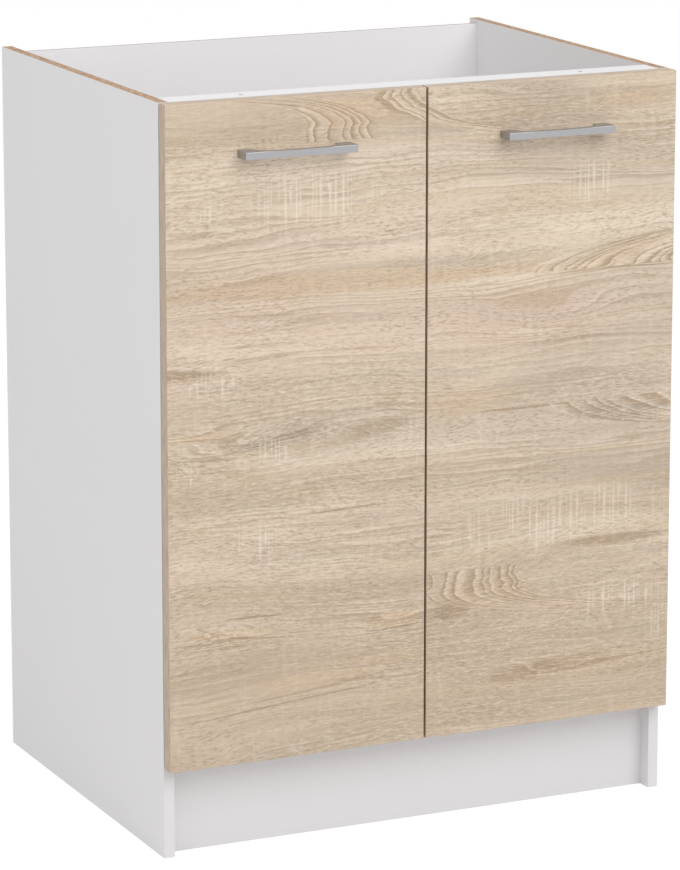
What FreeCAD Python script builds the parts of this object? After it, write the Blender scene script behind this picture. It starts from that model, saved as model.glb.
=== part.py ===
"""A kitchen base cabinet, 600 mm wide, open at the top, with two full-overlay doors.

The case is white board on sides that run down to the floor. Each door hangs on two concealed cup
hinges, a four-bar linkage of an outer and an inner link between the arm and the cup. Millimetres,
+Z up, the front towards -Y, the origin at the bottom centre of the whole cabinet.
"""
import FreeCAD, Part
import math
import os

import Sketcher
from FreeCAD import Rotation, Vector

doc = FreeCAD.newDocument("base_cabinet")
sheet = doc.addObject("Spreadsheet::Sheet", "Sizes")

# Driving sizes in millimetres, with counts at the end
SIZES = [
    # the case
    ("case_width", "600"), ("case_height", "816"), ("case_depth", "460"),
    ("side_thick", "12"), ("deck_thick", "12"), ("band_thick", "0.8"),
    ("plinth_high", "100"), ("plinth_thick", "12"), ("plinth_setback", "17.5"),
    ("front_rail_deep", "32"),
    ("rear_rail_high", "80"), ("rear_rail_thick", "12"), ("rear_rail_drop", "24"),
    ("back_thick", "3"), ("back_inset", "17"), ("back_drop", "4"),
    ("groove_deep", "5"), ("groove_play", "0.15"), ("back_end_play", "0.4"),
    ("shelf_level", "440"), ("shelf_setback", "20"), ("shelf_play", "1"), ("shelf_back_play", "3"),
    # shelf pins and the rows of holes they go in
    ("pin_radius", "2.45"), ("pin_hole_radius", "2.5"), ("pin_hole_deep", "8"),
    ("pin_collar_radius", "4"), ("pin_collar_thick", "1.4"), ("pin_tongue_long", "9"),
    ("pin_tongue_wide", "7"), ("pin_tongue_thick", "3"),
    ("pin_row_front", "60"), ("pin_row_rear", "90"), ("pin_row_step", "32"),
    # cam locks, cam bolts and wood dowels
    ("cam_radius", "6"), ("cam_play", "0.05"), ("cam_high", "9.5"), ("cam_reach", "24"),
    ("cam_slot_wide", "1.4"), ("cam_slot_long", "8"), ("cam_slot_deep", "2"),
    ("bolt_radius", "2.45"), ("bolt_hole_radius", "2.5"), ("bolt_grip", "9"),
    ("bolt_shank_radius", "1.8"), ("bolt_head_radius", "3"), ("bolt_head_long", "3"),
    ("bolt_end_play", "0.2"),
    ("dowel_radius", "3"), ("dowel_play", "0.05"), ("dowel_side_grip", "8"), ("dowel_deck_grip", "22"),
    ("dowel_step", "32"), ("fitting_front", "60"), ("fitting_rear", "90"),
    ("rail_cam_place", "10"), ("rail_dowel_place", "24"),
    ("upright_cam_drop", "26"), ("upright_dowel_drop", "60"),
    # worktop screw holes in the front rail, and the nails of the back panel
    ("worktop_hole_radius", "2.5"), ("worktop_hole_span", "400"), ("worktop_hole_place", "16"),
    ("nail_radius", "0.8"), ("nail_long", "22"), ("nail_head_radius", "2.4"), ("nail_head_thick", "0.8"),
    ("nail_inset", "60"),
    # the doors
    ("door_thick", "16"), ("door_gap", "2"), ("door_slit", "2.5"), ("door_band", "1"),
    ("door_band_play", "0.05"), ("door_round", "0.8"), ("door_bottom", "100"),
    ("bumper_radius", "4"), ("bumper_thick", "1.7"), ("bumper_inset", "24"),
    # the bow handles
    ("handle_long", "128"), ("handle_reach", "22"), ("handle_high", "8"), ("handle_bar", "8"),
    ("handle_foot", "16"), ("handle_waist", "0.5"), ("handle_arch_play", "0.1"), ("handle_round", "0.5"),
    ("handle_drop", "56"), ("handle_left_shift", "-4"), ("handle_right_shift", "0"),
    ("handle_screw_radius", "2"), ("handle_screw_play", "0.05"), ("handle_screw_grip", "9"),
    ("handle_hole_radius", "2.4"), ("handle_head_radius", "4"), ("handle_head_thick", "2.4"),
    # the hinge cup in the door, measured from the door's outer edge
    ("hinge_inset", "100"), ("cup_centre", "21.5"), ("cup_radius", "17.5"), ("cup_play", "0.05"),
    ("cup_deep", "13.5"), ("cup_wall", "1"), ("flange_thick", "1"), ("flange_rim", "1.5"),
    ("ear_inner", "27"), ("ear_outer", "35"), ("ear_half", "22.5"), ("ear_round", "4"),
    ("rim_notch_half", "6.2"), ("rim_notch_deep", "1.2"), ("rim_notch_in", "9"),
    ("cup_screw_place", "31"), ("cup_screw_radius", "1.75"), ("cup_screw_long", "10"),
    ("cup_screw_head", "3.4"), ("cup_screw_head_thick", "1.6"), ("screw_play", "0.02"),
    # the hinge pivots: in from the case's outer face, and back from its front plane
    ("arm_front_in", "28"), ("arm_front_back", "-6"), ("arm_rear_in", "42"), ("arm_rear_back", "10"),
    ("cup_deep_in", "10.5"), ("cup_deep_back", "-11"), ("cup_rim_in", "10"), ("cup_rim_back", "-5.6"),
    ("arm_front_pin", "1.25"), ("arm_rear_pin", "1.5"), ("cup_deep_pin", "1"), ("cup_rim_pin", "1"),
    ("pivot_play", "0.06"), ("pin_end", "0.4"), ("cup_pin_seat", "0.45"),
    ("lug_inner", "2.8"), ("lug_thick", "0.9"), ("lug_wide", "3.4"), ("lug_root_in", "4.8"),
    # the two links
    ("link_thick", "1.6"), ("outer_half", "5.3"), ("outer_window", "3.9"), ("outer_eye", "1.05"),
    ("outer_neck_in", "21"), ("outer_neck_back", "-13.05"),
    ("inner_half", "2.6"), ("inner_eye", "1"), ("open_eye_radius", "2.3"), ("open_eye_wall", "0.7"),
    ("open_eye_shift_in", "0.68"), ("open_eye_shift_back", "0.87"),
    ("neck_one_in", "15.6"), ("neck_one_back", "-5.7"), ("neck_two_in", "19.1"), ("neck_two_back", "0.4"),
    ("neck_three_in", "18.7"), ("neck_three_back", "3.6"), ("neck_four_in", "20.8"),
    ("neck_four_back", "6.4"),
    # the arm and its mounting plate
    ("arm_inner", "5.6"), ("arm_sheet", "1.4"), ("arm_round", "2.4"), ("arm_top_in", "25.6"),
    ("arm_low_in", "17"), ("arm_shoulder", "26"), ("arm_heel", "22"), ("arm_tail", "60"),
    ("plate_thick", "1.5"), ("plate_line", "37"), ("plate_screw_half", "16"), ("plate_wing_half", "22"),
    ("plate_wing_wide", "14"), ("plate_spine_half", "5.4"), ("plate_spine_front", "24"),
    ("plate_spine_rear", "60"),
    ("plate_screw_radius", "2.5"), ("plate_screw_grip", "9.5"), ("plate_screw_head", "3.4"),
    ("plate_screw_head_thick", "1.6"), ("plate_hole_play", "0.1"),
    ("arm_screw_front", "32"), ("arm_screw_rear", "52"), ("arm_screw_radius", "2"),
    ("arm_screw_long", "9"), ("arm_screw_head", "3.5"), ("arm_screw_head_thick", "2"),
    # how far cutting shapes run past the faces that they cut
    ("overrun", "1"),
]
for row, (alias, number) in enumerate(SIZES, start=1):
    sheet.set("A%d" % row, alias)
    sheet.set("B%d" % row, number)
    sheet.setAlias("B%d" % row, alias)
doc.recompute()

HOLE_ROWS = (-1, 0, 1)
NAIL_ROWS = (-2, -1, 0, 1, 2)

# Expressions that many pieces share
HALF = "Sizes.case_width / 2"
INNER = "(Sizes.case_width / 2 - Sizes.side_thick)"
FRONT = "(-(Sizes.case_depth - Sizes.door_gap - Sizes.door_thick - Sizes.handle_reach) / 2)"
REAR = "(" + FRONT + " + Sizes.case_depth)"
BACK_FACE = "(" + REAR + " - Sizes.back_inset - Sizes.back_thick)"
DOOR_BACK = "(" + FRONT + " - Sizes.door_gap)"
DOOR_FRONT = "(" + FRONT + " - Sizes.door_gap - Sizes.door_thick)"
DOOR_WIDE = "((Sizes.case_width - Sizes.door_slit) / 2)"
DECK_MID = "(Sizes.plinth_high + Sizes.deck_thick / 2)"
RAIL_MID = "(Sizes.case_height - Sizes.deck_thick / 2)"
REAR_RAIL_TOP = "(Sizes.case_height - Sizes.rear_rail_drop)"
REAR_RAIL_MID = "(" + BACK_FACE + " + Sizes.back_thick + Sizes.rear_rail_thick / 2)"
PLINTH_MID = "(" + FRONT + " + Sizes.plinth_setback + Sizes.plinth_thick / 2)"
HINGE_LEVELS = {"lower": "(Sizes.door_bottom + Sizes.hinge_inset)",
                "upper": "(Sizes.case_height - Sizes.hinge_inset)"}

TURN = {"x": Rotation(Vector(0, 1, 0), 90), "y": Rotation(Vector(1, 0, 0), -90), "z": Rotation()}


def bind(thing, expressions):
    """Binds the properties of an object to expressions on the sheet."""
    for place, expression in expressions.items():
        thing.setExpression(place, expression)
    return thing


def at(point):
    return dict(zip(("Placement.Base.x", "Placement.Base.y", "Placement.Base.z"), point))


def box(label, corner, size):
    """A box from its lowest corner."""
    thing = doc.addObject("Part::Box", label)
    bind(thing, dict(zip(("Length", "Width", "Height"), size)))
    return bind(thing, at(corner))


def rod(label, axis, start, radius, length):
    """A cylinder along x, y or z from the middle of its first end."""
    thing = doc.addObject("Part::Cylinder", label)
    thing.Placement.Rotation = TURN[axis]
    bind(thing, {"Radius": radius, "Height": length})
    return bind(thing, at(start))


def union(label, pieces):
    thing = doc.addObject("Part::MultiFuse", label)
    thing.Shapes = pieces
    return thing


def cut(label, base, tools):
    """The base with every tool taken out of it."""
    thing = doc.addObject("Part::Cut", label)
    thing.Base = base
    thing.Tool = tools[0] if len(tools) == 1 else union(label + "_tools", tools)
    return thing


def group(label, pieces):
    """Separate like pieces that share one node."""
    thing = doc.addObject("Part::Compound", label)
    thing.Links = pieces
    return thing


def mirror(label, source):
    """The same piece on the other side of the cabinet's middle plane."""
    thing = doc.addObject("Part::Mirroring", label)
    thing.Source = source
    thing.Base = Vector(0, 0, 0)
    thing.Normal = Vector(1, 0, 0)
    return thing


def inwards(distance):
    """Where a distance in from the left side's outer face lies along X."""
    return "-" + HALF + " + " + distance


def backwards(distance):
    """Where a distance back from the case's front plane lies along Y."""
    return FRONT + " + " + distance


def draw_lines(sketch, points, closed):
    """Straight lines from point to point in a sketch, each corner held by two bound distances."""
    count = len(points)
    turn = 2 * math.pi / count
    rough = [Vector(count * math.cos(turn * i), count * math.sin(turn * i), 0) for i in range(count)]
    lines = count if closed else count - 1
    for i in range(lines):
        sketch.addGeometry(Part.LineSegment(rough[i], rough[(i + 1) % count]), False)
    for i in range(lines - 1):
        sketch.addConstraint(Sketcher.Constraint("Coincident", i, 2, i + 1, 1))
    if closed:
        sketch.addConstraint(Sketcher.Constraint("Coincident", lines - 1, 2, 0, 1))
    for i, corner in enumerate(points):
        line, end = (i, 1) if i < lines else (lines - 1, 2)
        for kind, expression, first in zip(("DistanceX", "DistanceY"), corner, rough[i]):
            held = sketch.addConstraint(Sketcher.Constraint(kind, -1, 1, line, end, first))
            sketch.setExpression("Constraints[%d]" % held, expression)
    return sketch


def polyline(label, points, closed):
    """A sketch of its own for one line of points."""
    return draw_lines(doc.addObject("Sketcher::SketchObject", label), points, closed)


def extrude(label, flat, forward, back, placing):
    """A flat outline drawn out along the normal of its plane, then placed."""
    thing = doc.addObject("Part::Extrusion", label)
    thing.Base = flat
    thing.DirMode = "Custom"
    thing.Dir = Vector(0, 0, 1)
    thing.Solid = True
    bind(thing, {"LengthFwd": forward, "LengthRev": back})
    return bind(thing, placing)


def strip(label, points, thick, forward, back, placing):
    """A bent strip of sheet of one thickness along a line of points, seen edge on."""
    outline = doc.addObject("Part::Offset2D", label + "_outline")
    outline.Source = polyline(label + "_line", points, False)
    outline.Mode = "Pipe"
    outline.Join = "Arc"
    outline.Fill = True
    bind(outline, {"Value": thick + " / 2"})
    return extrude(label, outline, forward, back, placing)


def rounded_plate(label, points, radius, forward, back, placing):
    """A plate round a closed line of points, grown by a radius that rounds its corners."""
    face = doc.addObject("Part::Face", label + "_face")
    face.Sources = [polyline(label + "_line", points, True)]
    face.FaceMakerClass = "Part::FaceMakerSimple"
    outline = doc.addObject("Part::Offset2D", label + "_outline")
    outline.Source = face
    outline.Mode = "Skin"
    outline.Join = "Arc"
    bind(outline, {"Value": radius})
    return extrude(label, outline, forward, back, placing)


# Fittings that join a board's end to a side panel, on the left side of the case

def cam_bolt(label, y, z):
    """A cam bolt: threaded into the side, with a head that the cam grips in the board."""
    start = "-" + INNER
    thread = rod(label + "_thread", "x", (start + " - Sizes.bolt_grip", y, z), "Sizes.bolt_radius",
                 "Sizes.bolt_grip")
    shank = rod(label + "_shank", "x", (start, y, z), "Sizes.bolt_shank_radius",
                "Sizes.cam_reach - Sizes.bolt_head_long / 2")
    head = rod(label + "_head", "x", (start + " + Sizes.cam_reach - Sizes.bolt_head_long / 2", y, z),
               "Sizes.bolt_head_radius", "Sizes.bolt_head_long")
    return union(label, [thread, shank, head])


def cam_lock(label, axis, middle, open_face):
    """A cam: a short drum with a channel that takes the bolt's shank and head, and a driver's slot."""
    y, z = middle
    x = "-" + INNER + " + Sizes.cam_reach"
    if axis == "z":
        start = (x, y, open_face)
        slot_corner = (x + " - Sizes.cam_slot_long / 2", y + " - Sizes.cam_slot_wide / 2",
                       open_face + " - Sizes.overrun")
        slot_size = ("Sizes.cam_slot_long", "Sizes.cam_slot_wide", "Sizes.cam_slot_deep + Sizes.overrun")
    else:
        start = (x, open_face + " - Sizes.cam_high", z)
        slot_corner = (x + " - Sizes.cam_slot_long / 2", open_face + " - Sizes.cam_slot_deep",
                       z + " - Sizes.cam_slot_wide / 2")
        slot_size = ("Sizes.cam_slot_long", "Sizes.cam_slot_deep + Sizes.overrun", "Sizes.cam_slot_wide")
    drum = rod(label + "_drum", axis, start, "Sizes.cam_radius - Sizes.cam_play", "Sizes.cam_high")
    channel = rod(label + "_channel", "x", (x + " - Sizes.cam_radius - Sizes.overrun", y, z),
                  "Sizes.bolt_head_radius + Sizes.bolt_end_play / 2",
                  "Sizes.cam_radius + Sizes.overrun + Sizes.bolt_head_long / 2 + Sizes.bolt_end_play")
    slot = box(label + "_slot", slot_corner, slot_size)
    return cut(label, drum, [channel, slot])


def cam_holes(label, axis, middle, open_face):
    """The holes in the board: one for the cam and one from the board's end for the bolt."""
    y, z = middle
    x = "-" + INNER + " + Sizes.cam_reach"
    deep = "Sizes.cam_high + Sizes.bolt_end_play + Sizes.overrun"
    if axis == "z":
        start = (x, y, open_face + " - Sizes.overrun")
    else:
        start = (x, open_face + " - Sizes.cam_high - Sizes.bolt_end_play", z)
    return [rod(label + "_cam", axis, start, "Sizes.cam_radius", deep),
            rod(label + "_bolt", "x", ("-" + INNER + " - Sizes.overrun", y, z), "Sizes.bolt_hole_radius",
                "Sizes.cam_reach + Sizes.overrun")]


def dowel(label, y, z):
    return rod(label, "x", ("-" + INNER + " - Sizes.dowel_side_grip", y, z), "Sizes.dowel_radius",
               "Sizes.dowel_side_grip + Sizes.dowel_deck_grip")


def dowel_hole(label, y, z):
    """One cutting rod that is both the side's blind hole and the board's."""
    return rod(label, "x", ("-" + INNER + " - Sizes.dowel_side_grip - Sizes.bolt_end_play", y, z),
               "Sizes.dowel_radius + Sizes.dowel_play",
               "Sizes.dowel_side_grip + Sizes.dowel_deck_grip + 2 * Sizes.bolt_end_play")


DECK_UNDER = "Sizes.plinth_high"
RAIL_UNDER = "(Sizes.case_height - Sizes.deck_thick)"
PLINTH_REAR = "(" + FRONT + " + Sizes.plinth_setback + Sizes.plinth_thick)"
REAR_RAIL_REAR = "(" + BACK_FACE + " + Sizes.back_thick + Sizes.rear_rail_thick)"
FIT_FRONT = backwards("Sizes.fitting_front")
FIT_REAR = "(" + REAR + " - Sizes.fitting_rear)"

# Each cam: the board it is in, the axis of its drum, its middle, and the face its drum opens on
CAMS = [
    ("bottom", "z", (FIT_FRONT, DECK_MID), DECK_UNDER),
    ("bottom", "z", (FIT_REAR, DECK_MID), DECK_UNDER),
    ("front_rail", "z", (backwards("Sizes.rail_cam_place"), RAIL_MID), RAIL_UNDER),
    ("rear_rail", "y", (REAR_RAIL_MID, REAR_RAIL_TOP + " - Sizes.upright_cam_drop"), REAR_RAIL_REAR),
    ("plinth", "y", (PLINTH_MID, "Sizes.plinth_high - Sizes.upright_cam_drop"), PLINTH_REAR),
]
DOWELS = [
    ("bottom", FIT_FRONT + " + Sizes.dowel_step", DECK_MID),
    ("bottom", FIT_REAR + " - Sizes.dowel_step", DECK_MID),
    ("front_rail", backwards("Sizes.rail_dowel_place"), RAIL_MID),
    ("rear_rail", REAR_RAIL_MID, REAR_RAIL_TOP + " - Sizes.upright_dowel_drop"),
    ("plinth", PLINTH_MID, "Sizes.plinth_high - Sizes.upright_dowel_drop"),
]


def fitting_cuts(board):
    """The cam, bolt and dowel holes at the left end of one board, and the same at its right end."""
    left = []
    for number, (owner, axis, middle, face) in enumerate(CAMS):
        if owner == board:
            left += cam_holes("%s_cam_hole_%d" % (board, number), axis, middle, face)
    for number, (owner, y, z) in enumerate(DOWELS):
        if owner == board:
            left.append(dowel_hole("%s_dowel_hole_%d" % (board, number), y, z))
    ends = union(board + "_left_holes", left)
    return [ends, mirror(board + "_right_holes", ends)]


def fittings():
    """Cam locks, cam bolts and dowels, each kind one node, mirrored to the right side."""
    bolts, locks, pegs = [], [], []
    for number, (board, axis, middle, face) in enumerate(CAMS):
        bolts.append(cam_bolt("cam_bolt_%d" % number, *middle))
        locks.append(cam_lock("cam_lock_%d" % number, axis, middle, face))
    for number, (board, y, z) in enumerate(DOWELS):
        pegs.append(dowel("dowel_%d" % number, y, z))
    for label, left in (("cam_bolts", bolts), ("cam_locks", locks), ("wood_dowels", pegs)):
        right = [mirror(piece.Label + "_right", piece) for piece in left]
        group(label, left + right)


# The case

def side_panels():
    """Two sides that run to the floor, grooved for the back panel and drilled for the fittings."""
    board = box("side_board", ("-" + HALF, backwards("Sizes.band_thick"), "0"),
                ("Sizes.side_thick", "Sizes.case_depth - Sizes.band_thick", "Sizes.case_height"))
    groove = box("side_groove",
                 ("-" + INNER + " - Sizes.groove_deep", BACK_FACE + " - Sizes.groove_play",
                  "Sizes.plinth_high - Sizes.groove_play"),
                 ("Sizes.groove_deep + Sizes.overrun", "Sizes.back_thick + 2 * Sizes.groove_play",
                  "Sizes.case_height - Sizes.back_drop - Sizes.plinth_high + 2 * Sizes.groove_play"))
    holes = [groove]
    for number, (owner, axis, (y, z), face) in enumerate(CAMS):
        holes.append(rod("side_bolt_hole_%d" % number, "x",
                         ("-" + INNER + " - Sizes.bolt_grip - Sizes.bolt_end_play", y, z),
                         "Sizes.bolt_hole_radius",
                         "Sizes.bolt_grip + Sizes.bolt_end_play + Sizes.overrun"))
    for number, (owner, y, z) in enumerate(DOWELS):
        holes.append(dowel_hole("side_dowel_hole_%d" % number, y, z))
    pin_level = "Sizes.shelf_level - Sizes.pin_tongue_thick / 2"
    for column, y in (("front", backwards("Sizes.pin_row_front")),
                      ("rear", "(" + REAR + " - Sizes.pin_row_rear)")):
        for step in HOLE_ROWS:
            holes.append(rod("side_pin_hole_%s_%d" % (column, step + len(HOLE_ROWS)), "x",
                             ("-" + INNER + " - Sizes.pin_hole_deep", y,
                              pin_level + " + %d * Sizes.pin_row_step" % step),
                             "Sizes.pin_hole_radius", "Sizes.pin_hole_deep + Sizes.overrun"))
    for place, level in HINGE_LEVELS.items():
        for sign in ("-", "+"):
            holes.append(rod("side_plate_hole_%s_%s" % (place, "ab"[sign == "+"]), "x",
                             ("-" + INNER + " - Sizes.plate_screw_grip - Sizes.bolt_end_play",
                              backwards("Sizes.plate_line"),
                              level + " " + sign + " Sizes.plate_screw_half"),
                             "Sizes.plate_screw_radius + Sizes.screw_play",
                             "Sizes.plate_screw_grip + Sizes.bolt_end_play + Sizes.overrun"))
    left = cut("side_panel_left", board, holes)
    mirror("side_panel_right", left)
    band = box("side_band_left", ("-" + HALF, FRONT, "0"),
               ("Sizes.side_thick", "Sizes.band_thick", "Sizes.case_height"))
    group("side_bands", [band, mirror("side_band_right", band)])


def boards():
    """Bottom, rails, plinth, back and shelf, and the white bands on their front edges."""
    wide = "2 * " + INNER
    bottom = box("bottom_board", ("-" + INNER, backwards("Sizes.band_thick"), "Sizes.plinth_high"),
                 (wide, BACK_FACE + " - " + FRONT + " - Sizes.band_thick", "Sizes.deck_thick"))
    nail_holes = [rod("bottom_nail_hole_%d" % step, "y",
                      ("%d * (%s - Sizes.nail_inset) / 2" % (step, INNER), BACK_FACE + " - Sizes.nail_long",
                       DECK_MID),
                      "Sizes.nail_radius + Sizes.screw_play", "Sizes.nail_long + Sizes.overrun")
                  for step in NAIL_ROWS]
    cut("bottom_panel", bottom, fitting_cuts("bottom") + nail_holes)

    rail = box("front_rail_board", ("-" + INNER, backwards("Sizes.band_thick"), RAIL_UNDER),
               (wide, "Sizes.front_rail_deep - Sizes.band_thick", "Sizes.deck_thick"))
    screw_holes = [rod("worktop_hole_%s" % "ab"[sign == "+"], "z",
                       (sign + "Sizes.worktop_hole_span / 2", backwards("Sizes.worktop_hole_place"),
                        RAIL_UNDER + " - Sizes.overrun"),
                       "Sizes.worktop_hole_radius", "Sizes.deck_thick + 2 * Sizes.overrun")
                   for sign in ("-", "+")]
    cut("front_rail", rail, fitting_cuts("front_rail") + screw_holes)

    upright = box("rear_rail_board",
                  ("-" + INNER, BACK_FACE + " + Sizes.back_thick", REAR_RAIL_TOP + " - Sizes.rear_rail_high"),
                  (wide, "Sizes.rear_rail_thick", "Sizes.rear_rail_high"))
    cut("rear_rail", upright, fitting_cuts("rear_rail"))

    plinth = box("plinth_blank", ("-" + INNER, backwards("Sizes.plinth_setback"), "0"),
                 (wide, "Sizes.plinth_thick", "Sizes.plinth_high"))
    cut("plinth_board", plinth, fitting_cuts("plinth"))

    sheet_board = box("back_board",
                      ("-" + INNER + " - Sizes.groove_deep + Sizes.back_end_play", BACK_FACE,
                       "Sizes.plinth_high"),
                      (wide + " + 2 * Sizes.groove_deep - 2 * Sizes.back_end_play", "Sizes.back_thick",
                       "Sizes.case_height - Sizes.back_drop - Sizes.plinth_high"))
    back_holes = [rod("back_nail_hole_%d" % step, "y",
                      ("%d * (%s - Sizes.nail_inset) / 2" % (step, INNER), BACK_FACE + " - Sizes.overrun",
                       DECK_MID),
                      "Sizes.nail_radius + Sizes.screw_play", "Sizes.back_thick + 2 * Sizes.overrun")
                  for step in NAIL_ROWS]
    cut("back_panel", sheet_board, back_holes)

    nails = []
    for step in NAIL_ROWS:
        x = "%d * (%s - Sizes.nail_inset) / 2" % (step, INNER)
        rear = BACK_FACE + " + Sizes.back_thick"
        shank = rod("nail_shank_%d" % step, "y", (x, rear + " - Sizes.nail_long", DECK_MID),
                    "Sizes.nail_radius", "Sizes.nail_long")
        head = rod("nail_head_%d" % step, "y", (x, rear, DECK_MID), "Sizes.nail_head_radius",
                   "Sizes.nail_head_thick")
        nails.append(union("nail_%d" % step, [shank, head]))
    group("back_nails", nails)

    shelf_front = backwards("Sizes.shelf_setback")
    box("shelf",
        ("-" + INNER + " + Sizes.shelf_play", shelf_front + " + Sizes.band_thick", "Sizes.shelf_level"),
        (wide + " - 2 * Sizes.shelf_play",
         BACK_FACE + " - Sizes.shelf_back_play - (" + shelf_front + " + Sizes.band_thick)",
         "Sizes.deck_thick"))
    bands = [box("bottom_band", ("-" + INNER, FRONT, "Sizes.plinth_high"),
                 (wide, "Sizes.band_thick", "Sizes.deck_thick")),
             box("front_rail_band", ("-" + INNER, FRONT, RAIL_UNDER),
                 (wide, "Sizes.band_thick", "Sizes.deck_thick")),
             box("shelf_band", ("-" + INNER + " + Sizes.shelf_play", shelf_front, "Sizes.shelf_level"),
                 (wide + " - 2 * Sizes.shelf_play", "Sizes.band_thick", "Sizes.deck_thick"))]
    group("deck_bands", bands)


def shelf_pins():
    """Four pins: a peg in the side, a collar against it and a tongue under the shelf."""
    pins = []
    level = "Sizes.shelf_level - Sizes.pin_tongue_thick / 2"
    for column, y in (("front", backwards("Sizes.pin_row_front")),
                      ("rear", "(" + REAR + " - Sizes.pin_row_rear)")):
        peg = rod("pin_peg_" + column, "x", ("-" + INNER + " - Sizes.pin_hole_deep", y, level),
                  "Sizes.pin_radius", "Sizes.pin_hole_deep")
        collar = rod("pin_collar_round_" + column, "x", ("-" + INNER, y, level),
                     "Sizes.pin_collar_radius", "Sizes.pin_collar_thick")
        trim = box("pin_collar_trim_" + column,
                   ("-" + INNER + " - Sizes.overrun", y + " - Sizes.pin_collar_radius - Sizes.overrun",
                    "Sizes.shelf_level"),
                   ("Sizes.pin_collar_thick + 2 * Sizes.overrun",
                    "2 * (Sizes.pin_collar_radius + Sizes.overrun)",
                    "Sizes.pin_collar_radius"))
        tongue = box("pin_tongue_" + column,
                     ("-" + INNER, y + " - Sizes.pin_tongue_wide / 2",
                      "Sizes.shelf_level - Sizes.pin_tongue_thick"),
                     ("Sizes.pin_tongue_long", "Sizes.pin_tongue_wide", "Sizes.pin_tongue_thick"))
        pins.append(union("shelf_pin_" + column,
                          [peg, cut("pin_collar_" + column, collar, [trim]), tongue]))
    group("shelf_pins", pins + [mirror(pin.Label + "_right", pin) for pin in pins])


# The doors, drawn on the left and mirrored, with their own handle places

def origin_plane(body, role):
    return next(item for item in body.Origin.OriginFeatures if item.Role == role)


def rounded_box(label, corner, size, radius):
    """A box with every edge rounded, as one body."""
    body = doc.addObject("PartDesign::Body", label)
    block = doc.addObject("PartDesign::AdditiveBox", label + "_block")
    body.addObject(block)
    bind(block, dict(zip(("Length", "Width", "Height"), size)))
    doc.recompute()
    fillet = body.newObject("PartDesign::Fillet", label + "_fillet")
    fillet.Base = (block, ["Edge%d" % (i + 1) for i in range(len(block.Shape.Edges))])
    bind(fillet, {"Radius": radius})
    body.Tip = fillet
    return bind(body, at(corner))


HANDLE_LEVEL = "(Sizes.case_height - Sizes.handle_drop)"
DOOR_HIGH = "(Sizes.case_height - Sizes.door_bottom)"
HANDLE_MIDDLES = {
    "left": "(-(Sizes.case_width + Sizes.door_slit) / 4 + Sizes.handle_left_shift)",
    "right": "((Sizes.case_width + Sizes.door_slit) / 4 + Sizes.handle_right_shift)",
}


def handle_screw_places(side):
    half = "(Sizes.handle_long - Sizes.handle_foot) / 2"
    return [HANDLE_MIDDLES[side] + " - " + half, HANDLE_MIDDLES[side] + " + " + half]


def doors():
    """The door boards, drilled for cups, cup screws and handles, with a band on all four edges."""
    core_left = box("door_core",
                    (inwards("Sizes.door_band"), DOOR_FRONT, "Sizes.door_bottom + Sizes.door_band"),
                    (DOOR_WIDE + " - 2 * Sizes.door_band", "Sizes.door_thick",
                     DOOR_HIGH + " - 2 * Sizes.door_band"))
    holes = []
    for place, level in HINGE_LEVELS.items():
        holes.append(rod("door_cup_hole_" + place, "y",
                         (inwards("Sizes.cup_centre"), DOOR_BACK + " - Sizes.cup_deep", level),
                         "Sizes.cup_radius + Sizes.cup_play", "Sizes.cup_deep + Sizes.overrun"))
        for sign in ("-", "+"):
            holes.append(rod("door_screw_hole_%s_%s" % (place, "ab"[sign == "+"]), "y",
                             (inwards("Sizes.cup_screw_place"),
                              DOOR_BACK + " - Sizes.cup_screw_long - Sizes.bolt_end_play",
                              level + " " + sign + " Sizes.ear_half"),
                             "Sizes.cup_screw_radius + Sizes.screw_play",
                             "Sizes.cup_screw_long + Sizes.bolt_end_play + Sizes.overrun"))
    blank = cut("door_blank", core_left, holes)
    cores = {"left": blank, "right": mirror("door_blank_right", blank)}

    shell = rounded_box("door_shell", ("-" + HALF, DOOR_FRONT, "Sizes.door_bottom"),
                        (DOOR_WIDE, "Sizes.door_thick", DOOR_HIGH), "Sizes.door_round")
    low = (inwards("-Sizes.overrun"), DOOR_FRONT + " - Sizes.overrun")
    across = (DOOR_WIDE + " + 2 * Sizes.overrun", "Sizes.door_thick + 2 * Sizes.overrun")
    upright_high = DOOR_HIGH + " - 2 * (Sizes.door_band + Sizes.door_band_play)"
    upright_low = "Sizes.door_bottom + Sizes.door_band + Sizes.door_band_play"
    regions = [
        box("band_bottom_region", low + ("Sizes.door_bottom - Sizes.overrun",),
            across + ("Sizes.door_band + Sizes.overrun",)),
        box("band_top_region", low + ("Sizes.case_height - Sizes.door_band",),
            across + ("Sizes.door_band + Sizes.overrun",)),
        box("band_hinge_region", low + (upright_low,),
            ("Sizes.door_band + Sizes.overrun", across[1], upright_high)),
        box("band_free_region", (inwards(DOOR_WIDE + " - Sizes.door_band"), low[1], upright_low),
            ("Sizes.door_band + Sizes.overrun", across[1], upright_high)),
    ]
    bands = []
    for region in regions:
        band = doc.addObject("Part::Common", region.Label.replace("region", "strip"))
        band.Base = shell
        band.Tool = region
        bands.append(band)
    left_bands = group("door_bands_left", bands)
    mirror("door_bands_right", left_bands)

    dots = [rod("bumper_" + place, "y",
                (inwards(DOOR_WIDE + " - Sizes.bumper_inset"), DOOR_BACK, level), "Sizes.bumper_radius",
                "Sizes.bumper_thick")
            for place, level in (("lower", DECK_MID), ("upper", RAIL_MID))]
    left_dots = group("door_bumpers_left", dots)
    mirror("door_bumpers_right", left_dots)

    for side, core in cores.items():
        drills = [rod("handle_drill_%s_%d" % (side, number), "y",
                      (x, DOOR_FRONT + " - Sizes.overrun", HANDLE_LEVEL), "Sizes.handle_hole_radius",
                      "Sizes.door_thick + 2 * Sizes.overrun")
                  for number, x in enumerate(handle_screw_places(side))]
        cut("door_" + side, core, drills)


TOUCH = 0.001


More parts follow.
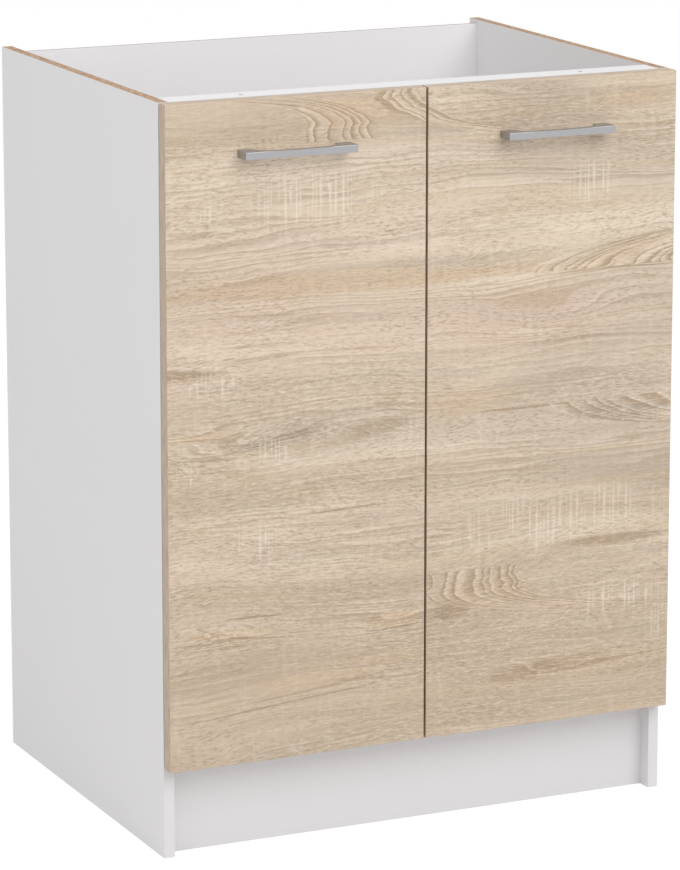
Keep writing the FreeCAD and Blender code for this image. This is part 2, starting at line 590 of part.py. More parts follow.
def numbered_edges(feature):
    return [("Edge%d" % (i + 1), edge) for i, edge in enumerate(feature.Shape.Edges)]


def edge_is_upright(edge):
    return edge.BoundBox.XLength < TOUCH and edge.BoundBox.YLength < TOUCH


def handle(side):
    """A bow handle: two feet that sweep in an arch into a slightly waisted bar."""
    label = "handle_" + side
    body = doc.addObject("PartDesign::Body", label + "_bow")
    sketch = body.newObject("Sketcher::SketchObject", label + "_profile")
    sketch.AttachmentSupport = [(origin_plane(body, "XY_Plane"), "")]
    sketch.MapMode = "FlatFace"
    half, foot = "Sizes.handle_long / 2", "Sizes.handle_foot"
    hollow = "-(Sizes.handle_reach - Sizes.handle_bar)"
    corners = [("-" + half, "0"), ("-" + half + " + " + foot, "0"), ("-" + half + " + " + foot, hollow),
               (half + " - " + foot, hollow), (half + " - " + foot, "0"), (half, "0"),
               (half, "-Sizes.handle_reach"), ("-" + half, "-Sizes.handle_reach")]
    draw_lines(sketch, corners, True)
    pad = body.newObject("PartDesign::Pad", label + "_pad")
    pad.Profile = sketch
    pad.Midplane = True
    bind(pad, {"Length": "Sizes.handle_high"})
    body.Tip = pad
    doc.recompute()
    arch_depth = float(sheet.get("handle_reach")) - float(sheet.get("handle_bar"))
    arches = [name for name, edge in numbered_edges(pad)
              if edge_is_upright(edge) and abs(edge.CenterOfMass.y + arch_depth) < TOUCH]
    arch = body.newObject("PartDesign::Fillet", label + "_arch")
    arch.Base = (pad, arches)
    bind(arch, {"Radius": "Sizes.handle_reach - Sizes.handle_bar - Sizes.handle_arch_play"})
    body.Tip = arch
    doc.recompute()
    reach = float(sheet.get("handle_reach"))
    outer = [name for name, edge in numbered_edges(arch)
             if abs(edge.BoundBox.YMin + reach) < TOUCH and abs(edge.BoundBox.YMax + reach) < TOUCH]
    ends = [name for name, edge in numbered_edges(arch)
            if edge_is_upright(edge) and abs(edge.CenterOfMass.y + reach) < TOUCH]
    soft = body.newObject("PartDesign::Fillet", label + "_soft")
    soft.Base = (arch, sorted(set(outer + ends)))
    bind(soft, {"Radius": "Sizes.handle_round"})
    body.Tip = soft
    bind(body, at((HANDLE_MIDDLES[side], DOOR_FRONT, HANDLE_LEVEL)))

    sag = "Sizes.handle_waist"
    span = "(Sizes.handle_long / 2 - Sizes.handle_foot)"
    big = "((" + span + " ^ 2 + " + sag + " ^ 2) / (2 * " + sag + "))"
    tools = []
    for word, sign in (("above", "+"), ("below", "-")):
        level = HANDLE_LEVEL + " " + sign + " (Sizes.handle_high / 2 - " + sag + " + " + big + ")"
        tools.append(rod(label + "_waist_" + word, "y",
                         (HANDLE_MIDDLES[side], DOOR_FRONT + " - Sizes.handle_reach - Sizes.overrun", level),
                         big, "Sizes.handle_reach + 2 * Sizes.overrun"))
    for number, x in enumerate(handle_screw_places(side)):
        tools.append(rod(label + "_tap_%d" % number, "y",
                         (x, DOOR_FRONT + " - Sizes.handle_screw_grip - Sizes.bolt_end_play", HANDLE_LEVEL),
                         "Sizes.handle_screw_radius + Sizes.handle_screw_play",
                         "Sizes.handle_screw_grip + Sizes.bolt_end_play + Sizes.overrun"))
    cut(label, body, tools)

    screws = []
    for number, x in enumerate(handle_screw_places(side)):
        shank = rod(label + "_shank_%d" % number, "y",
                    (x, DOOR_FRONT + " - Sizes.handle_screw_grip", HANDLE_LEVEL),
                    "Sizes.handle_screw_radius", "Sizes.handle_screw_grip + Sizes.door_thick")
        head = rod(label + "_head_%d" % number, "y", (x, DOOR_BACK, HANDLE_LEVEL),
                   "Sizes.handle_head_radius", "Sizes.handle_head_thick")
        screws.append(union(label + "_screw_%d" % number, [shank, head]))
    group("handle_screws_" + side, screws)


# The concealed hinges, drawn on the left door and mirrored to the right one

PIVOTS = {
    "arm_front": (inwards("Sizes.arm_front_in"), backwards("Sizes.arm_front_back")),
    "arm_rear": (inwards("Sizes.arm_rear_in"), backwards("Sizes.arm_rear_back")),
    "cup_deep": (inwards("Sizes.cup_deep_in"), backwards("Sizes.cup_deep_back")),
    "cup_rim": (inwards("Sizes.cup_rim_in"), backwards("Sizes.cup_rim_back")),
    "open_eye": (inwards("Sizes.cup_rim_in + Sizes.open_eye_shift_in"),
                 backwards("Sizes.cup_rim_back + Sizes.open_eye_shift_back")),
}


def upright(label, pivot, level, radius, half):
    """A cylinder along Z on one pivot, half above and half below the hinge's level."""
    x, y = PIVOTS[pivot]
    return rod(label, "z", (x, y, level + " - (" + half + ")"), radius, "2 * (" + half + ")")


# Half the length of each pin in the cup: the deep one ends in the cup's wall, the other in the lugs
CUP_PIN_HALVES = {
    "cup_deep": ("sqrt((Sizes.cup_radius - Sizes.cup_wall) ^ 2 - (Sizes.cup_centre - Sizes.cup_deep_in) ^ 2)"
                 " + Sizes.cup_pin_seat"),
    "cup_rim": "Sizes.lug_inner + Sizes.lug_thick",
}


def hinge_cup(label, level):
    """The pressed cup with its rim, ears and lugs, bored for two pins and two screws."""
    mouth = DOOR_BACK
    centre = inwards("Sizes.cup_centre")
    drum = rod(label + "_drum", "y", (centre, mouth + " - Sizes.cup_deep", level), "Sizes.cup_radius",
               "Sizes.cup_deep + Sizes.flange_thick")
    rim = rod(label + "_rim", "y", (centre, mouth, level), "Sizes.cup_radius + Sizes.flange_rim",
              "Sizes.flange_thick")
    near, far, half = inwards("Sizes.ear_inner"), inwards("Sizes.ear_outer"), "Sizes.ear_half"
    ear_corners = [(near, "-" + half), (far, "-" + half), (far, half), (near, half)]
    ears = rounded_plate(label + "_ears", ear_corners, "Sizes.ear_round", "Sizes.flange_thick", "0",
                         at(("0", mouth + " + Sizes.flange_thick", level)))
    ears.Placement.Rotation = Rotation(Vector(1, 0, 0), 90)
    hollow = rod(label + "_hollow", "y", (centre, mouth + " - Sizes.cup_deep + Sizes.cup_wall", level),
                 "Sizes.cup_radius - Sizes.cup_wall",
                 "Sizes.cup_deep - Sizes.cup_wall + Sizes.flange_thick + Sizes.overrun")
    shell = cut(label + "_shell", union(label + "_pressing", [drum, rim, ears]), [hollow])
    lugs = []
    x, y = PIVOTS["cup_rim"]
    for word, start in (("high", level + " + Sizes.lug_inner"),
                        ("low", level + " - Sizes.lug_inner - Sizes.lug_thick")):
        lugs.append(box(label + "_lug_" + word,
                        (inwards("Sizes.lug_root_in"), y + " - Sizes.lug_wide / 2", start),
                        ("Sizes.cup_rim_in - Sizes.lug_root_in", "Sizes.lug_wide", "Sizes.lug_thick")))
        lugs.append(rod(label + "_lug_end_" + word, "z", (x, y, start), "Sizes.lug_wide / 2",
                        "Sizes.lug_thick"))
    tools = [box(label + "_notch",
                 (inwards("-Sizes.overrun"), mouth + " - Sizes.rim_notch_deep",
                  level + " - Sizes.rim_notch_half"),
                 ("Sizes.rim_notch_in + Sizes.overrun",
                  "Sizes.rim_notch_deep + Sizes.flange_thick + Sizes.overrun", "2 * Sizes.rim_notch_half"))]
    for place, half in CUP_PIN_HALVES.items():
        tools.append(upright(label + "_" + place, place, level, "Sizes." + place + "_pin + Sizes.screw_play",
                             half + " + Sizes.screw_play"))
    for sign in ("-", "+"):
        tools.append(rod(label + "_screw_hole_" + "ab"[sign == "+"], "y",
                         (inwards("Sizes.cup_screw_place"), mouth + " - Sizes.overrun",
                          level + " " + sign + " Sizes.ear_half"),
                         "Sizes.cup_screw_radius + Sizes.plate_hole_play",
                         "Sizes.flange_thick + 2 * Sizes.overrun"))
    return cut(label, union(label + "_blank", [shell] + lugs), tools)


def outer_link(label, level):
    """The wide link: two bent cheeks, joined by a barrel at the arm, with an eye each in the cup."""
    path = [PIVOTS["cup_deep"], (inwards("Sizes.outer_neck_in"), backwards("Sizes.outer_neck_back")),
            PIVOTS["arm_front"]]
    middle = at(("0", "0", level))
    cheeks = [strip(label + "_cheek_high", path, "Sizes.link_thick", "Sizes.outer_half",
                    "-Sizes.outer_window", middle),
              strip(label + "_cheek_low", path, "Sizes.link_thick", "-Sizes.outer_window",
                    "Sizes.outer_half", middle)]
    eyes = [upright(label + "_barrel", "arm_front", level, "Sizes.arm_front_pin + Sizes.outer_eye",
                    "Sizes.outer_half")]
    x, y = PIVOTS["cup_deep"]
    for word, start in (("high", level + " + Sizes.outer_window"), ("low", level + " - Sizes.outer_half")):
        eyes.append(rod(label + "_eye_" + word, "z", (x, y, start), "Sizes.cup_deep_pin + Sizes.outer_eye",
                        "Sizes.outer_half - Sizes.outer_window"))
    bores = [upright(label + "_bore_" + place, place, level, "Sizes." + place + "_pin + Sizes.pivot_play",
                     "Sizes.outer_half + Sizes.overrun") for place in ("cup_deep", "arm_front")]
    return cut(label, union(label + "_blank", cheeks + eyes), bores)


def inner_link(label, level):
    """The narrow goose-neck link. Its eye in the cup is wide, for the pin's play as the door turns."""
    path = [PIVOTS["open_eye"],
            (inwards("Sizes.neck_one_in"), backwards("Sizes.neck_one_back")),
            (inwards("Sizes.neck_two_in"), backwards("Sizes.neck_two_back")),
            (inwards("Sizes.neck_three_in"), backwards("Sizes.neck_three_back")),
            (inwards("Sizes.neck_four_in"), backwards("Sizes.neck_four_back")),
            PIVOTS["arm_rear"]]
    neck = strip(label + "_neck", path, "Sizes.link_thick", "Sizes.inner_half", "Sizes.inner_half",
                 at(("0", "0", level)))
    eyes = [upright(label + "_open_eye", "open_eye", level, "Sizes.open_eye_radius + Sizes.open_eye_wall",
                    "Sizes.inner_half"),
            upright(label + "_arm_eye", "arm_rear", level, "Sizes.arm_rear_pin + Sizes.inner_eye",
                    "Sizes.inner_half")]
    bores = [upright(label + "_open_bore", "open_eye", level, "Sizes.open_eye_radius",
                     "Sizes.inner_half + Sizes.overrun"),
             upright(label + "_arm_bore", "arm_rear", level, "Sizes.arm_rear_pin + Sizes.pivot_play",
                     "Sizes.inner_half + Sizes.overrun")]
    return cut(label, union(label + "_blank", [neck] + eyes), bores)


ARM_TOP = "(Sizes.arm_top_in + Sizes.arm_round)"
ARM_TOP_UNDER = "(" + ARM_TOP + " - Sizes.arm_sheet)"


def hinge_arm(label, level):
    """The arm: a channel whose two cheeks carry the links' pins and whose back seats on the plate."""
    corners = [PIVOTS["arm_front"], PIVOTS["arm_rear"],
               (inwards("Sizes.arm_top_in"), backwards("Sizes.arm_shoulder")),
               (inwards("Sizes.arm_top_in"), backwards("Sizes.arm_tail")),
               (inwards("Sizes.arm_low_in"), backwards("Sizes.arm_tail")),
               (inwards("Sizes.arm_low_in"), backwards("Sizes.arm_heel"))]
    far = "Sizes.arm_inner + Sizes.arm_sheet"
    cheeks = [rounded_plate(label + "_cheek_high", corners, "Sizes.arm_round", far, "-Sizes.arm_inner",
                            at(("0", "0", level))),
              rounded_plate(label + "_cheek_low", corners, "Sizes.arm_round", "-Sizes.arm_inner", far,
                            at(("0", "0", level)))]
    web = box(label + "_web", (inwards(ARM_TOP_UNDER), backwards("Sizes.arm_shoulder"),
                               level + " - Sizes.arm_inner - Sizes.arm_sheet / 2"),
              ("Sizes.arm_sheet", "Sizes.arm_tail - Sizes.arm_shoulder",
               "2 * Sizes.arm_inner + Sizes.arm_sheet"))
    tools = [upright(label + "_bore_" + place, place, level, "Sizes." + place + "_pin + Sizes.screw_play",
                     far + " + Sizes.overrun") for place in ("arm_front", "arm_rear")]
    for number, place in enumerate(("Sizes.arm_screw_front", "Sizes.arm_screw_rear")):
        tools.append(rod(label + "_slot_%d" % number, "x",
                         (inwards(ARM_TOP_UNDER + " - Sizes.overrun"), backwards(place), level),
                         "Sizes.arm_screw_radius + Sizes.plate_hole_play",
                         "Sizes.arm_sheet + 2 * Sizes.overrun"))
    return cut(label, union(label + "_blank", cheeks + [web]), tools)


def hinge_plate(label, level):
    """The mounting plate: two screwed wings on the side panel and a channel that the arm straddles."""
    face = "-" + INNER
    wings = rounded_wings(label, level)
    spine = box(label + "_spine",
                (face, backwards("Sizes.plate_spine_front"), level + " - Sizes.plate_spine_half"),
                (ARM_TOP_UNDER + " - Sizes.side_thick", "Sizes.plate_spine_rear - Sizes.plate_spine_front",
                 "2 * Sizes.plate_spine_half"))
    tools = [box(label + "_channel",
                 (face + " + Sizes.plate_thick", backwards("Sizes.plate_spine_front - Sizes.overrun"),
                  level + " - (Sizes.plate_spine_half - Sizes.plate_thick)"),
                 (ARM_TOP_UNDER + " - Sizes.side_thick - 2 * Sizes.plate_thick",
                  "Sizes.plate_spine_rear - Sizes.plate_spine_front + 2 * Sizes.overrun",
                  "2 * (Sizes.plate_spine_half - Sizes.plate_thick)"))]
    for sign in ("-", "+"):
        tools.append(rod(label + "_wing_hole_" + "ab"[sign == "+"], "x",
                         (face + " - Sizes.overrun", backwards("Sizes.plate_line"),
                          level + " " + sign + " Sizes.plate_screw_half"),
                         "Sizes.plate_screw_radius + Sizes.plate_hole_play",
                         "Sizes.plate_thick + 2 * Sizes.overrun"))
    for number, place in enumerate(("Sizes.arm_screw_front", "Sizes.arm_screw_rear")):
        tools.append(rod(label + "_tap_%d" % number, "x",
                         (inwards(ARM_TOP_UNDER + " - Sizes.plate_thick - Sizes.overrun"),
                          backwards(place), level),
                         "Sizes.arm_screw_radius + Sizes.screw_play",
                         "Sizes.plate_thick + 2 * Sizes.overrun"))
    return cut(label, union(label + "_blank", [wings, spine]), tools)


def rounded_wings(label, level):
    """The plate's two wings, one rounded bar that lies on the side panel."""
    corner = "(Sizes.plate_wing_wide / 2 - Sizes.ear_round)"
    tip = "(Sizes.plate_wing_half - Sizes.ear_round)"
    corners = [("-" + tip, "-" + corner), (tip, "-" + corner), (tip, corner), ("-" + tip, corner)]
    wings = rounded_plate(label + "_wings", corners, "Sizes.ear_round", "Sizes.plate_thick", "0",
                          at(("-" + INNER, backwards("Sizes.plate_line"), level)))
    wings.Placement.Rotation = Rotation(Vector(0, 1, 0), 90)
    return wings


def hinge_screws(label, level):
    """The screws of one hinge: two in the door, two in the side panel and two through the arm."""
    cup, plate, arm = [], [], []
    for sign in ("-", "+"):
        end = "ab"[sign == "+"]
        z = level + " " + sign + " Sizes.ear_half"
        x = inwards("Sizes.cup_screw_place")
        shank = rod(label + "_cup_shank_" + end, "y", (x, DOOR_BACK + " - Sizes.cup_screw_long", z),
                    "Sizes.cup_screw_radius", "Sizes.cup_screw_long + Sizes.flange_thick")
        head = rod(label + "_cup_head_" + end, "y", (x, DOOR_BACK + " + Sizes.flange_thick", z),
                   "Sizes.cup_screw_head", "Sizes.cup_screw_head_thick")
        cup.append(union(label + "_cup_screw_" + end, [shank, head]))
        z = level + " " + sign + " Sizes.plate_screw_half"
        y = backwards("Sizes.plate_line")
        shank = rod(label + "_plate_shank_" + end, "x", ("-" + INNER + " - Sizes.plate_screw_grip", y, z),
                    "Sizes.plate_screw_radius", "Sizes.plate_screw_grip + Sizes.plate_thick")
        head = rod(label + "_plate_head_" + end, "x", ("-" + INNER + " + Sizes.plate_thick", y, z),
                   "Sizes.plate_screw_head", "Sizes.plate_screw_head_thick")
        plate.append(union(label + "_plate_screw_" + end, [shank, head]))
    for number, place in enumerate(("Sizes.arm_screw_front", "Sizes.arm_screw_rear")):
        y = backwards(place)
        shank = rod(label + "_arm_shank_%d" % number, "x",
                    (inwards(ARM_TOP + " - Sizes.arm_screw_long"), y, level), "Sizes.arm_screw_radius",
                    "Sizes.arm_screw_long")
        head = rod(label + "_arm_head_%d" % number, "x", (inwards(ARM_TOP), y, level),
                   "Sizes.arm_screw_head", "Sizes.arm_screw_head_thick")
        arm.append(union(label + "_arm_screw_%d" % number, [shank, head]))
    return cup, plate, arm


def hinges():
    """Two hinges on the left door, mirrored to the right, with pins and screws grouped by place."""
    cup_screws, plate_screws, arm_screws, arm_pins, cup_pins = [], [], [], [], []
    for place, level in HINGE_LEVELS.items():
        for name, maker in (("hinge_cup", hinge_cup), ("outer_link", outer_link), ("inner_link", inner_link),
                            ("hinge_arm", hinge_arm), ("hinge_plate", hinge_plate)):
            left = maker("%s_left_%s" % (name, place), level)
            mirror("%s_right_%s" % (name, place), left)
        cup, plate, arm = hinge_screws("hinge_" + place, level)
        cup_screws += cup
        plate_screws += plate
        arm_screws += arm
        half = "Sizes.arm_inner + Sizes.arm_sheet + Sizes.pin_end"
        for pivot in ("arm_front", "arm_rear"):
            arm_pins.append(upright("%s_pin_%s" % (pivot, place), pivot, level,
                                    "Sizes." + pivot + "_pin", half))
        for pivot, reach in CUP_PIN_HALVES.items():
            cup_pins.append(upright("%s_pin_%s" % (pivot, place), pivot, level,
                                    "Sizes." + pivot + "_pin", reach))
    for label, pieces in (("cup_screws", cup_screws), ("arm_pins", arm_pins), ("cup_pins", cup_pins)):
        left = group(label + "_left", pieces)
        mirror(label + "_right", left)
    for label, pieces in (("plate_screws", plate_screws), ("arm_screws", arm_screws)):
        group(label, pieces + [mirror(piece.Label + "_right", piece) for piece in pieces])


side_panels()
boards()
shelf_pins()
fittings()
doors()
handle("left")
handle("right")
hinges()
doc.recompute()

SIDES = ("left", "right")
NODES = ["side_panel_left", "side_panel_right", "side_bands", "bottom_panel", "front_rail", "rear_rail",
         "plinth_board", "back_panel", "back_nails", "shelf", "shelf_pins", "deck_bands", "cam_locks",
         "cam_bolts", "wood_dowels", "plate_screws", "arm_screws"]
for side in SIDES:
    NODES += [name + "_" + side for name in ("door", "door_bands", "door_bumpers", "handle", "handle_screws",
                                             "cup_screws", "arm_pins", "cup_pins")]
    for place in HINGE_LEVELS:
        NODES += ["%s_%s_%s" % (name, side, place)
                  for name in ("hinge_cup", "outer_link", "inner_link", "hinge_arm", "hinge_plate")]

# Every object has to be whole before anything is written
for thing in doc.Objects:
    if "Invalid" in thing.State or "Error" in thing.State:
        raise RuntimeError("%s failed: %s" % (thing.Label, thing.State))
shapes = {}
for node in NODES:
    shape = doc.getObjectsByLabel(node)[0].Shape
    if shape.isNull() or not shape.isValid() or not shape.Solids:
        raise RuntimeError("%s has no sound solid" % node)
    shapes[node] = shape

os.makedirs("parts", exist_ok=True)
for node, shape in shapes.items():
    shape.exportStep("parts/%s.step" % node)
    print("%-28s %2d solids %12.1f mm3" % (node, len(shape.Solids), shape.Volume))
print(len(shapes), "nodes")
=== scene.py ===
"""A white kitchen base cabinet with two doors in a light oak decor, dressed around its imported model."""
import math

import bmesh
import bpy
from mathutils import Matrix, Vector


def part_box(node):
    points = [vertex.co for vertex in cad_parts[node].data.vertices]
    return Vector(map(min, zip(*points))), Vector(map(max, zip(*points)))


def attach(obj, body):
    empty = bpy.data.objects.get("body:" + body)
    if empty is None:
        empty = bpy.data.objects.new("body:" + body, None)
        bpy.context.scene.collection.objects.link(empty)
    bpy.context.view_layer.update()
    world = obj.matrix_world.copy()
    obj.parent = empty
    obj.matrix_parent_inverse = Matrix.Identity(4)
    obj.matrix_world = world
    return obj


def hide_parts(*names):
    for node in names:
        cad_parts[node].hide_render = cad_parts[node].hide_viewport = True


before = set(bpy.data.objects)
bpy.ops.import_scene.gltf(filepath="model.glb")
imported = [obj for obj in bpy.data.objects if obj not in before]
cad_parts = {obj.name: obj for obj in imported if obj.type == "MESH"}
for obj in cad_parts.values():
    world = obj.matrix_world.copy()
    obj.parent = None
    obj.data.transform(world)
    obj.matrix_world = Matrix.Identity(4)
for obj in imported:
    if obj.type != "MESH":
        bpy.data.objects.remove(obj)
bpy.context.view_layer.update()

# The room: a pale floor that runs out of sight, an even white surround, three broad soft lamps, and
# the camera at the place that the photograph was taken from.
FLOOR_HALF = 14.0
FLOOR_DROP = 0.0002
FLOOR_PALE = 0.80
# what is seen of the floor: a darker shade that takes the shadow, and an even glow over it
FLOOR_SHADE = 0.30
FLOOR_GLOW = 0.82
SURROUND_LIGHT = 0.56
SURROUND_SEEN = 1.0
# name, place, width, watts
LAMPS = [
    ("key_lamp", Vector((1.4, -3.6, 3.4)), 3.0, 86.0),
    ("fill_lamp", Vector((-3.4, -1.2, 2.2)), 2.4, 24.0),
    ("top_lamp", Vector((-1.0, -0.8, 3.3)), 2.4, 18.0),
]
LAMP_AIM = Vector((0.0, 0.0, 0.4))
CAMERA_PLACE = Vector((-1.955, -4.237, 1.481))
CAMERA_TURN = math.radians(24.81)
CAMERA_DIP = math.radians(11.98)
CAMERA_LENS = 176.6
CAMERA_SENSOR = 36.0
CAMERA_SHIFT = (0.0, -0.1)
CAMERA_REACH = 60.0


def add_node(tree, kind, feeds=None, **settings):
    """Adds a node to a tree, sets it up and feeds its inputs from values or other sockets."""
    made = tree.nodes.new(kind)
    for name, value in settings.items():
        setattr(made, name, value)
    for place, value in (feeds or {}).items():
        if isinstance(value, bpy.types.NodeSocket):
            tree.links.new(value, made.inputs[place])
        else:
            made.inputs[place].default_value = value
    return made


def calc(tree, operation, first, second=0.0, clamp=False):
    """One sum on two values, as a socket."""
    made = add_node(tree, "ShaderNodeMath", {0: first, 1: second}, operation=operation, use_clamp=clamp)
    return made.outputs[0]


def range_over(tree, value, low, high):
    """Runs from the low value to the high one as the value given goes from 0 to 1."""
    made = add_node(tree, "ShaderNodeMapRange", {"Value": value, "To Min": low, "To Max": high})
    return made.outputs[0]


def grey(level):
    """A colour without hue, as the shader takes it."""
    return (level, level, level, 1.0)


def blank_material(name):
    """A new material, its tree and its output node."""
    material = bpy.data.materials.new(name)
    material.use_nodes = True
    material.node_tree.nodes.clear()
    outlet = material.node_tree.nodes.new("ShaderNodeOutputMaterial")
    return material, material.node_tree, outlet


def seen_directly(tree):
    """1 where the camera, a reflection or a view through glass meets the surface, and 0 for light."""
    path = add_node(tree, "ShaderNodeLightPath")
    mirrored = calc(tree, "MAXIMUM", path.outputs["Is Glossy Ray"], path.outputs["Is Transmission Ray"])
    return calc(tree, "MAXIMUM", path.outputs["Is Camera Ray"], mirrored)


floor_shape = bmesh.new()
bmesh.ops.create_grid(floor_shape, x_segments=1, y_segments=1, size=FLOOR_HALF)
bmesh.ops.translate(floor_shape, verts=floor_shape.verts, vec=(0, 0, -FLOOR_DROP))
floor_mesh = bpy.data.meshes.new("floor")
floor_shape.to_mesh(floor_mesh)
floor_shape.free()
floor = bpy.data.objects.new("floor", floor_mesh)
bpy.context.scene.collection.objects.link(floor)

floor_material, tree, outlet = blank_material("pale_floor")
lit = add_node(tree, "ShaderNodeBsdfDiffuse", {"Color": grey(FLOOR_PALE)})
shaded = add_node(tree, "ShaderNodeBsdfDiffuse", {"Color": grey(FLOOR_SHADE)})
glow = add_node(tree, "ShaderNodeEmission", {"Color": grey(1.0), "Strength": FLOOR_GLOW})
shown = add_node(tree, "ShaderNodeAddShader", {0: shaded.outputs[0], 1: glow.outputs[0]})
both = add_node(tree, "ShaderNodeMixShader", {0: seen_directly(tree), 1: lit.outputs[0],
                                              2: shown.outputs[0]})
tree.links.new(both.outputs[0], outlet.inputs["Surface"])
floor_mesh.materials.append(floor_material)

world = bpy.data.worlds.new("surround")
world.use_nodes = True
bpy.context.scene.world = world
tree = world.node_tree
tree.nodes.clear()
strength = range_over(tree, seen_directly(tree), SURROUND_LIGHT, SURROUND_SEEN)
sky = add_node(tree, "ShaderNodeBackground", {"Color": grey(1.0), "Strength": strength})
add_node(tree, "ShaderNodeOutputWorld", {"Surface": sky.outputs[0]})

for name, place, width, watts in LAMPS:
    lamp = bpy.data.lights.new(name, "AREA")
    lamp.shape = "SQUARE"
    lamp.size = width
    lamp.energy = watts
    holder = bpy.data.objects.new(name, lamp)
    holder.location = place
    holder.rotation_euler = (LAMP_AIM - place).to_track_quat("-Z", "Y").to_euler()
    bpy.context.scene.collection.objects.link(holder)

lens = bpy.data.cameras.new("camera")
lens.sensor_width = CAMERA_SENSOR
lens.lens = CAMERA_LENS
lens.shift_x, lens.shift_y = CAMERA_SHIFT
lens.clip_end = CAMERA_REACH
camera = bpy.data.objects.new("camera", lens)
camera.location = CAMERA_PLACE
camera.rotation_euler = (math.pi / 2 - CAMERA_DIP, 0, -CAMERA_TURN)
bpy.context.scene.collection.objects.link(camera)
bpy.context.scene.camera = camera
bpy.context.scene.view_settings.view_transform = "Standard"

# The side panels: chipboard faced on both sides with a white melamine film, sawn to size, so the raw
# chips show on the top and rear edges, in the groove for the back and in every drilled hole.
X, Y, Z = range(3)
WHITE_PAINT = (233, 231, 232)
FILM_THICK = 0.00025
FILM_SHADE = (0.965, 0.965, 0.97, 1)
FILM_CLOUDS_PER_METRE = 6.0
FILM_ROUGH = (0.38, 0.52)
PEARL_SIZE = 0.0011
PEARL_SHARE = 0.5
CHIP_PALE = (214, 184, 154)
CHIP_MID = (190, 157, 128)
CHIP_DARK = (146, 114, 88)
CHIP_SIZE = 0.0022
CHIP_ROUGH = 0.85
DUST_SIZE = 0.0007
BENDS_PER_CHIP = 0.4
# how far out to the faces the chips turn fine, from none of them to all
FINE_CHIP_SHARES = (0.45, 0.95)
# which share of the chips runs from dark to middling, and which from there to pale
CHIP_DARK_SHARES = (0.0, 0.45)
CHIP_PALE_SHARES = (0.4, 1.0)
CHIP_GAP_WIDTH = 1.3
CHIP_GAP_SHADE = 0.35
CHIP_GAP_DEPTH = 0.8
# where the Mix node keeps its two inputs and its output, for each kind of data
MIX_SOCKETS = {"FLOAT": (2, 3, 0), "VECTOR": (4, 5, 1), "RGBA": (6, 7, 2)}


def paint(red, green, blue):
    """An 8-bit screen colour as the shader takes it, off the screen's own curve."""
    def linear(level):
        level /= 255
        return level / 12.92 if level <= 0.04045 else ((level + 0.055) / 1.055) ** 2.4
    return (linear(red), linear(green), linear(blue), 1.0)


def new_group(name, inlets, outlets):
    """An empty node group with named sockets, with its inlet and outlet nodes."""
    group = bpy.data.node_groups.new(name, "ShaderNodeTree")
    for label, kind, value in inlets:
        socket = group.interface.new_socket(label, in_out="INPUT", socket_type=kind)
        socket.default_value = value
    for label, kind in outlets:
        group.interface.new_socket(label, in_out="OUTPUT", socket_type=kind)
    return group, add_node(group, "NodeGroupInput"), add_node(group, "NodeGroupOutput")


def blend(tree, share, first, second, kind="RGBA", way="MIX"):
    """The first colour, value or normal at a share of 0, and the second at 1."""
    first_in, second_in, out = MIX_SOCKETS[kind]
    made = add_node(tree, "ShaderNodeMix", {0: share, first_in: first, second_in: second},
                    data_type=kind, blend_type=way)
    return made.outputs[out]


def ramp_between(tree, value, low, high):
    """Rises smoothly from 0 at the low value to 1 at the high one."""
    made = add_node(tree, "ShaderNodeMapRange", {"Value": value, "From Min": low, "From Max": high},
                    interpolation_type="SMOOTHSTEP")
    return made.outputs[0]


def stretched(tree, coordinates, factors):
    """Coordinates scaled by one factor for each axis."""
    made = add_node(tree, "ShaderNodeVectorMath", {0: coordinates, 1: factors}, operation="MULTIPLY")
    return made.outputs[0]


def cloud(tree, coordinates, scale=1.0, detail=2.0, roughness=0.5):
    """Soft noise from 0 to 1."""
    made = add_node(tree, "ShaderNodeTexNoise", {"Vector": coordinates, "Scale": scale, "Detail": detail,
                                                 "Roughness": roughness})
    return made.outputs[0]


def place_group(tree, group, feeds):
    """One group placed in a tree."""
    return add_node(tree, "ShaderNodeGroup", feeds, node_tree=group)


def piece_coordinates(tree):
    """Where a point lies on its piece, in metres, which moves with the piece."""
    return add_node(tree, "ShaderNodeTexCoord").outputs["Object"]


def bumped(tree, height, strength, distance):
    """The normal over a relief of that height."""
    made = add_node(tree, "ShaderNodeBump", {"Height": height, "Strength": strength,
                                             "Distance": distance})
    return made.outputs[0]


def give_surface(tree, outlet, feeds):
    """Sets a material's surface to one Principled shader with those feeds."""
    shader = add_node(tree, "ShaderNodeBsdfPrincipled", feeds)
    tree.links.new(shader.outputs[0], outlet.inputs["Surface"])


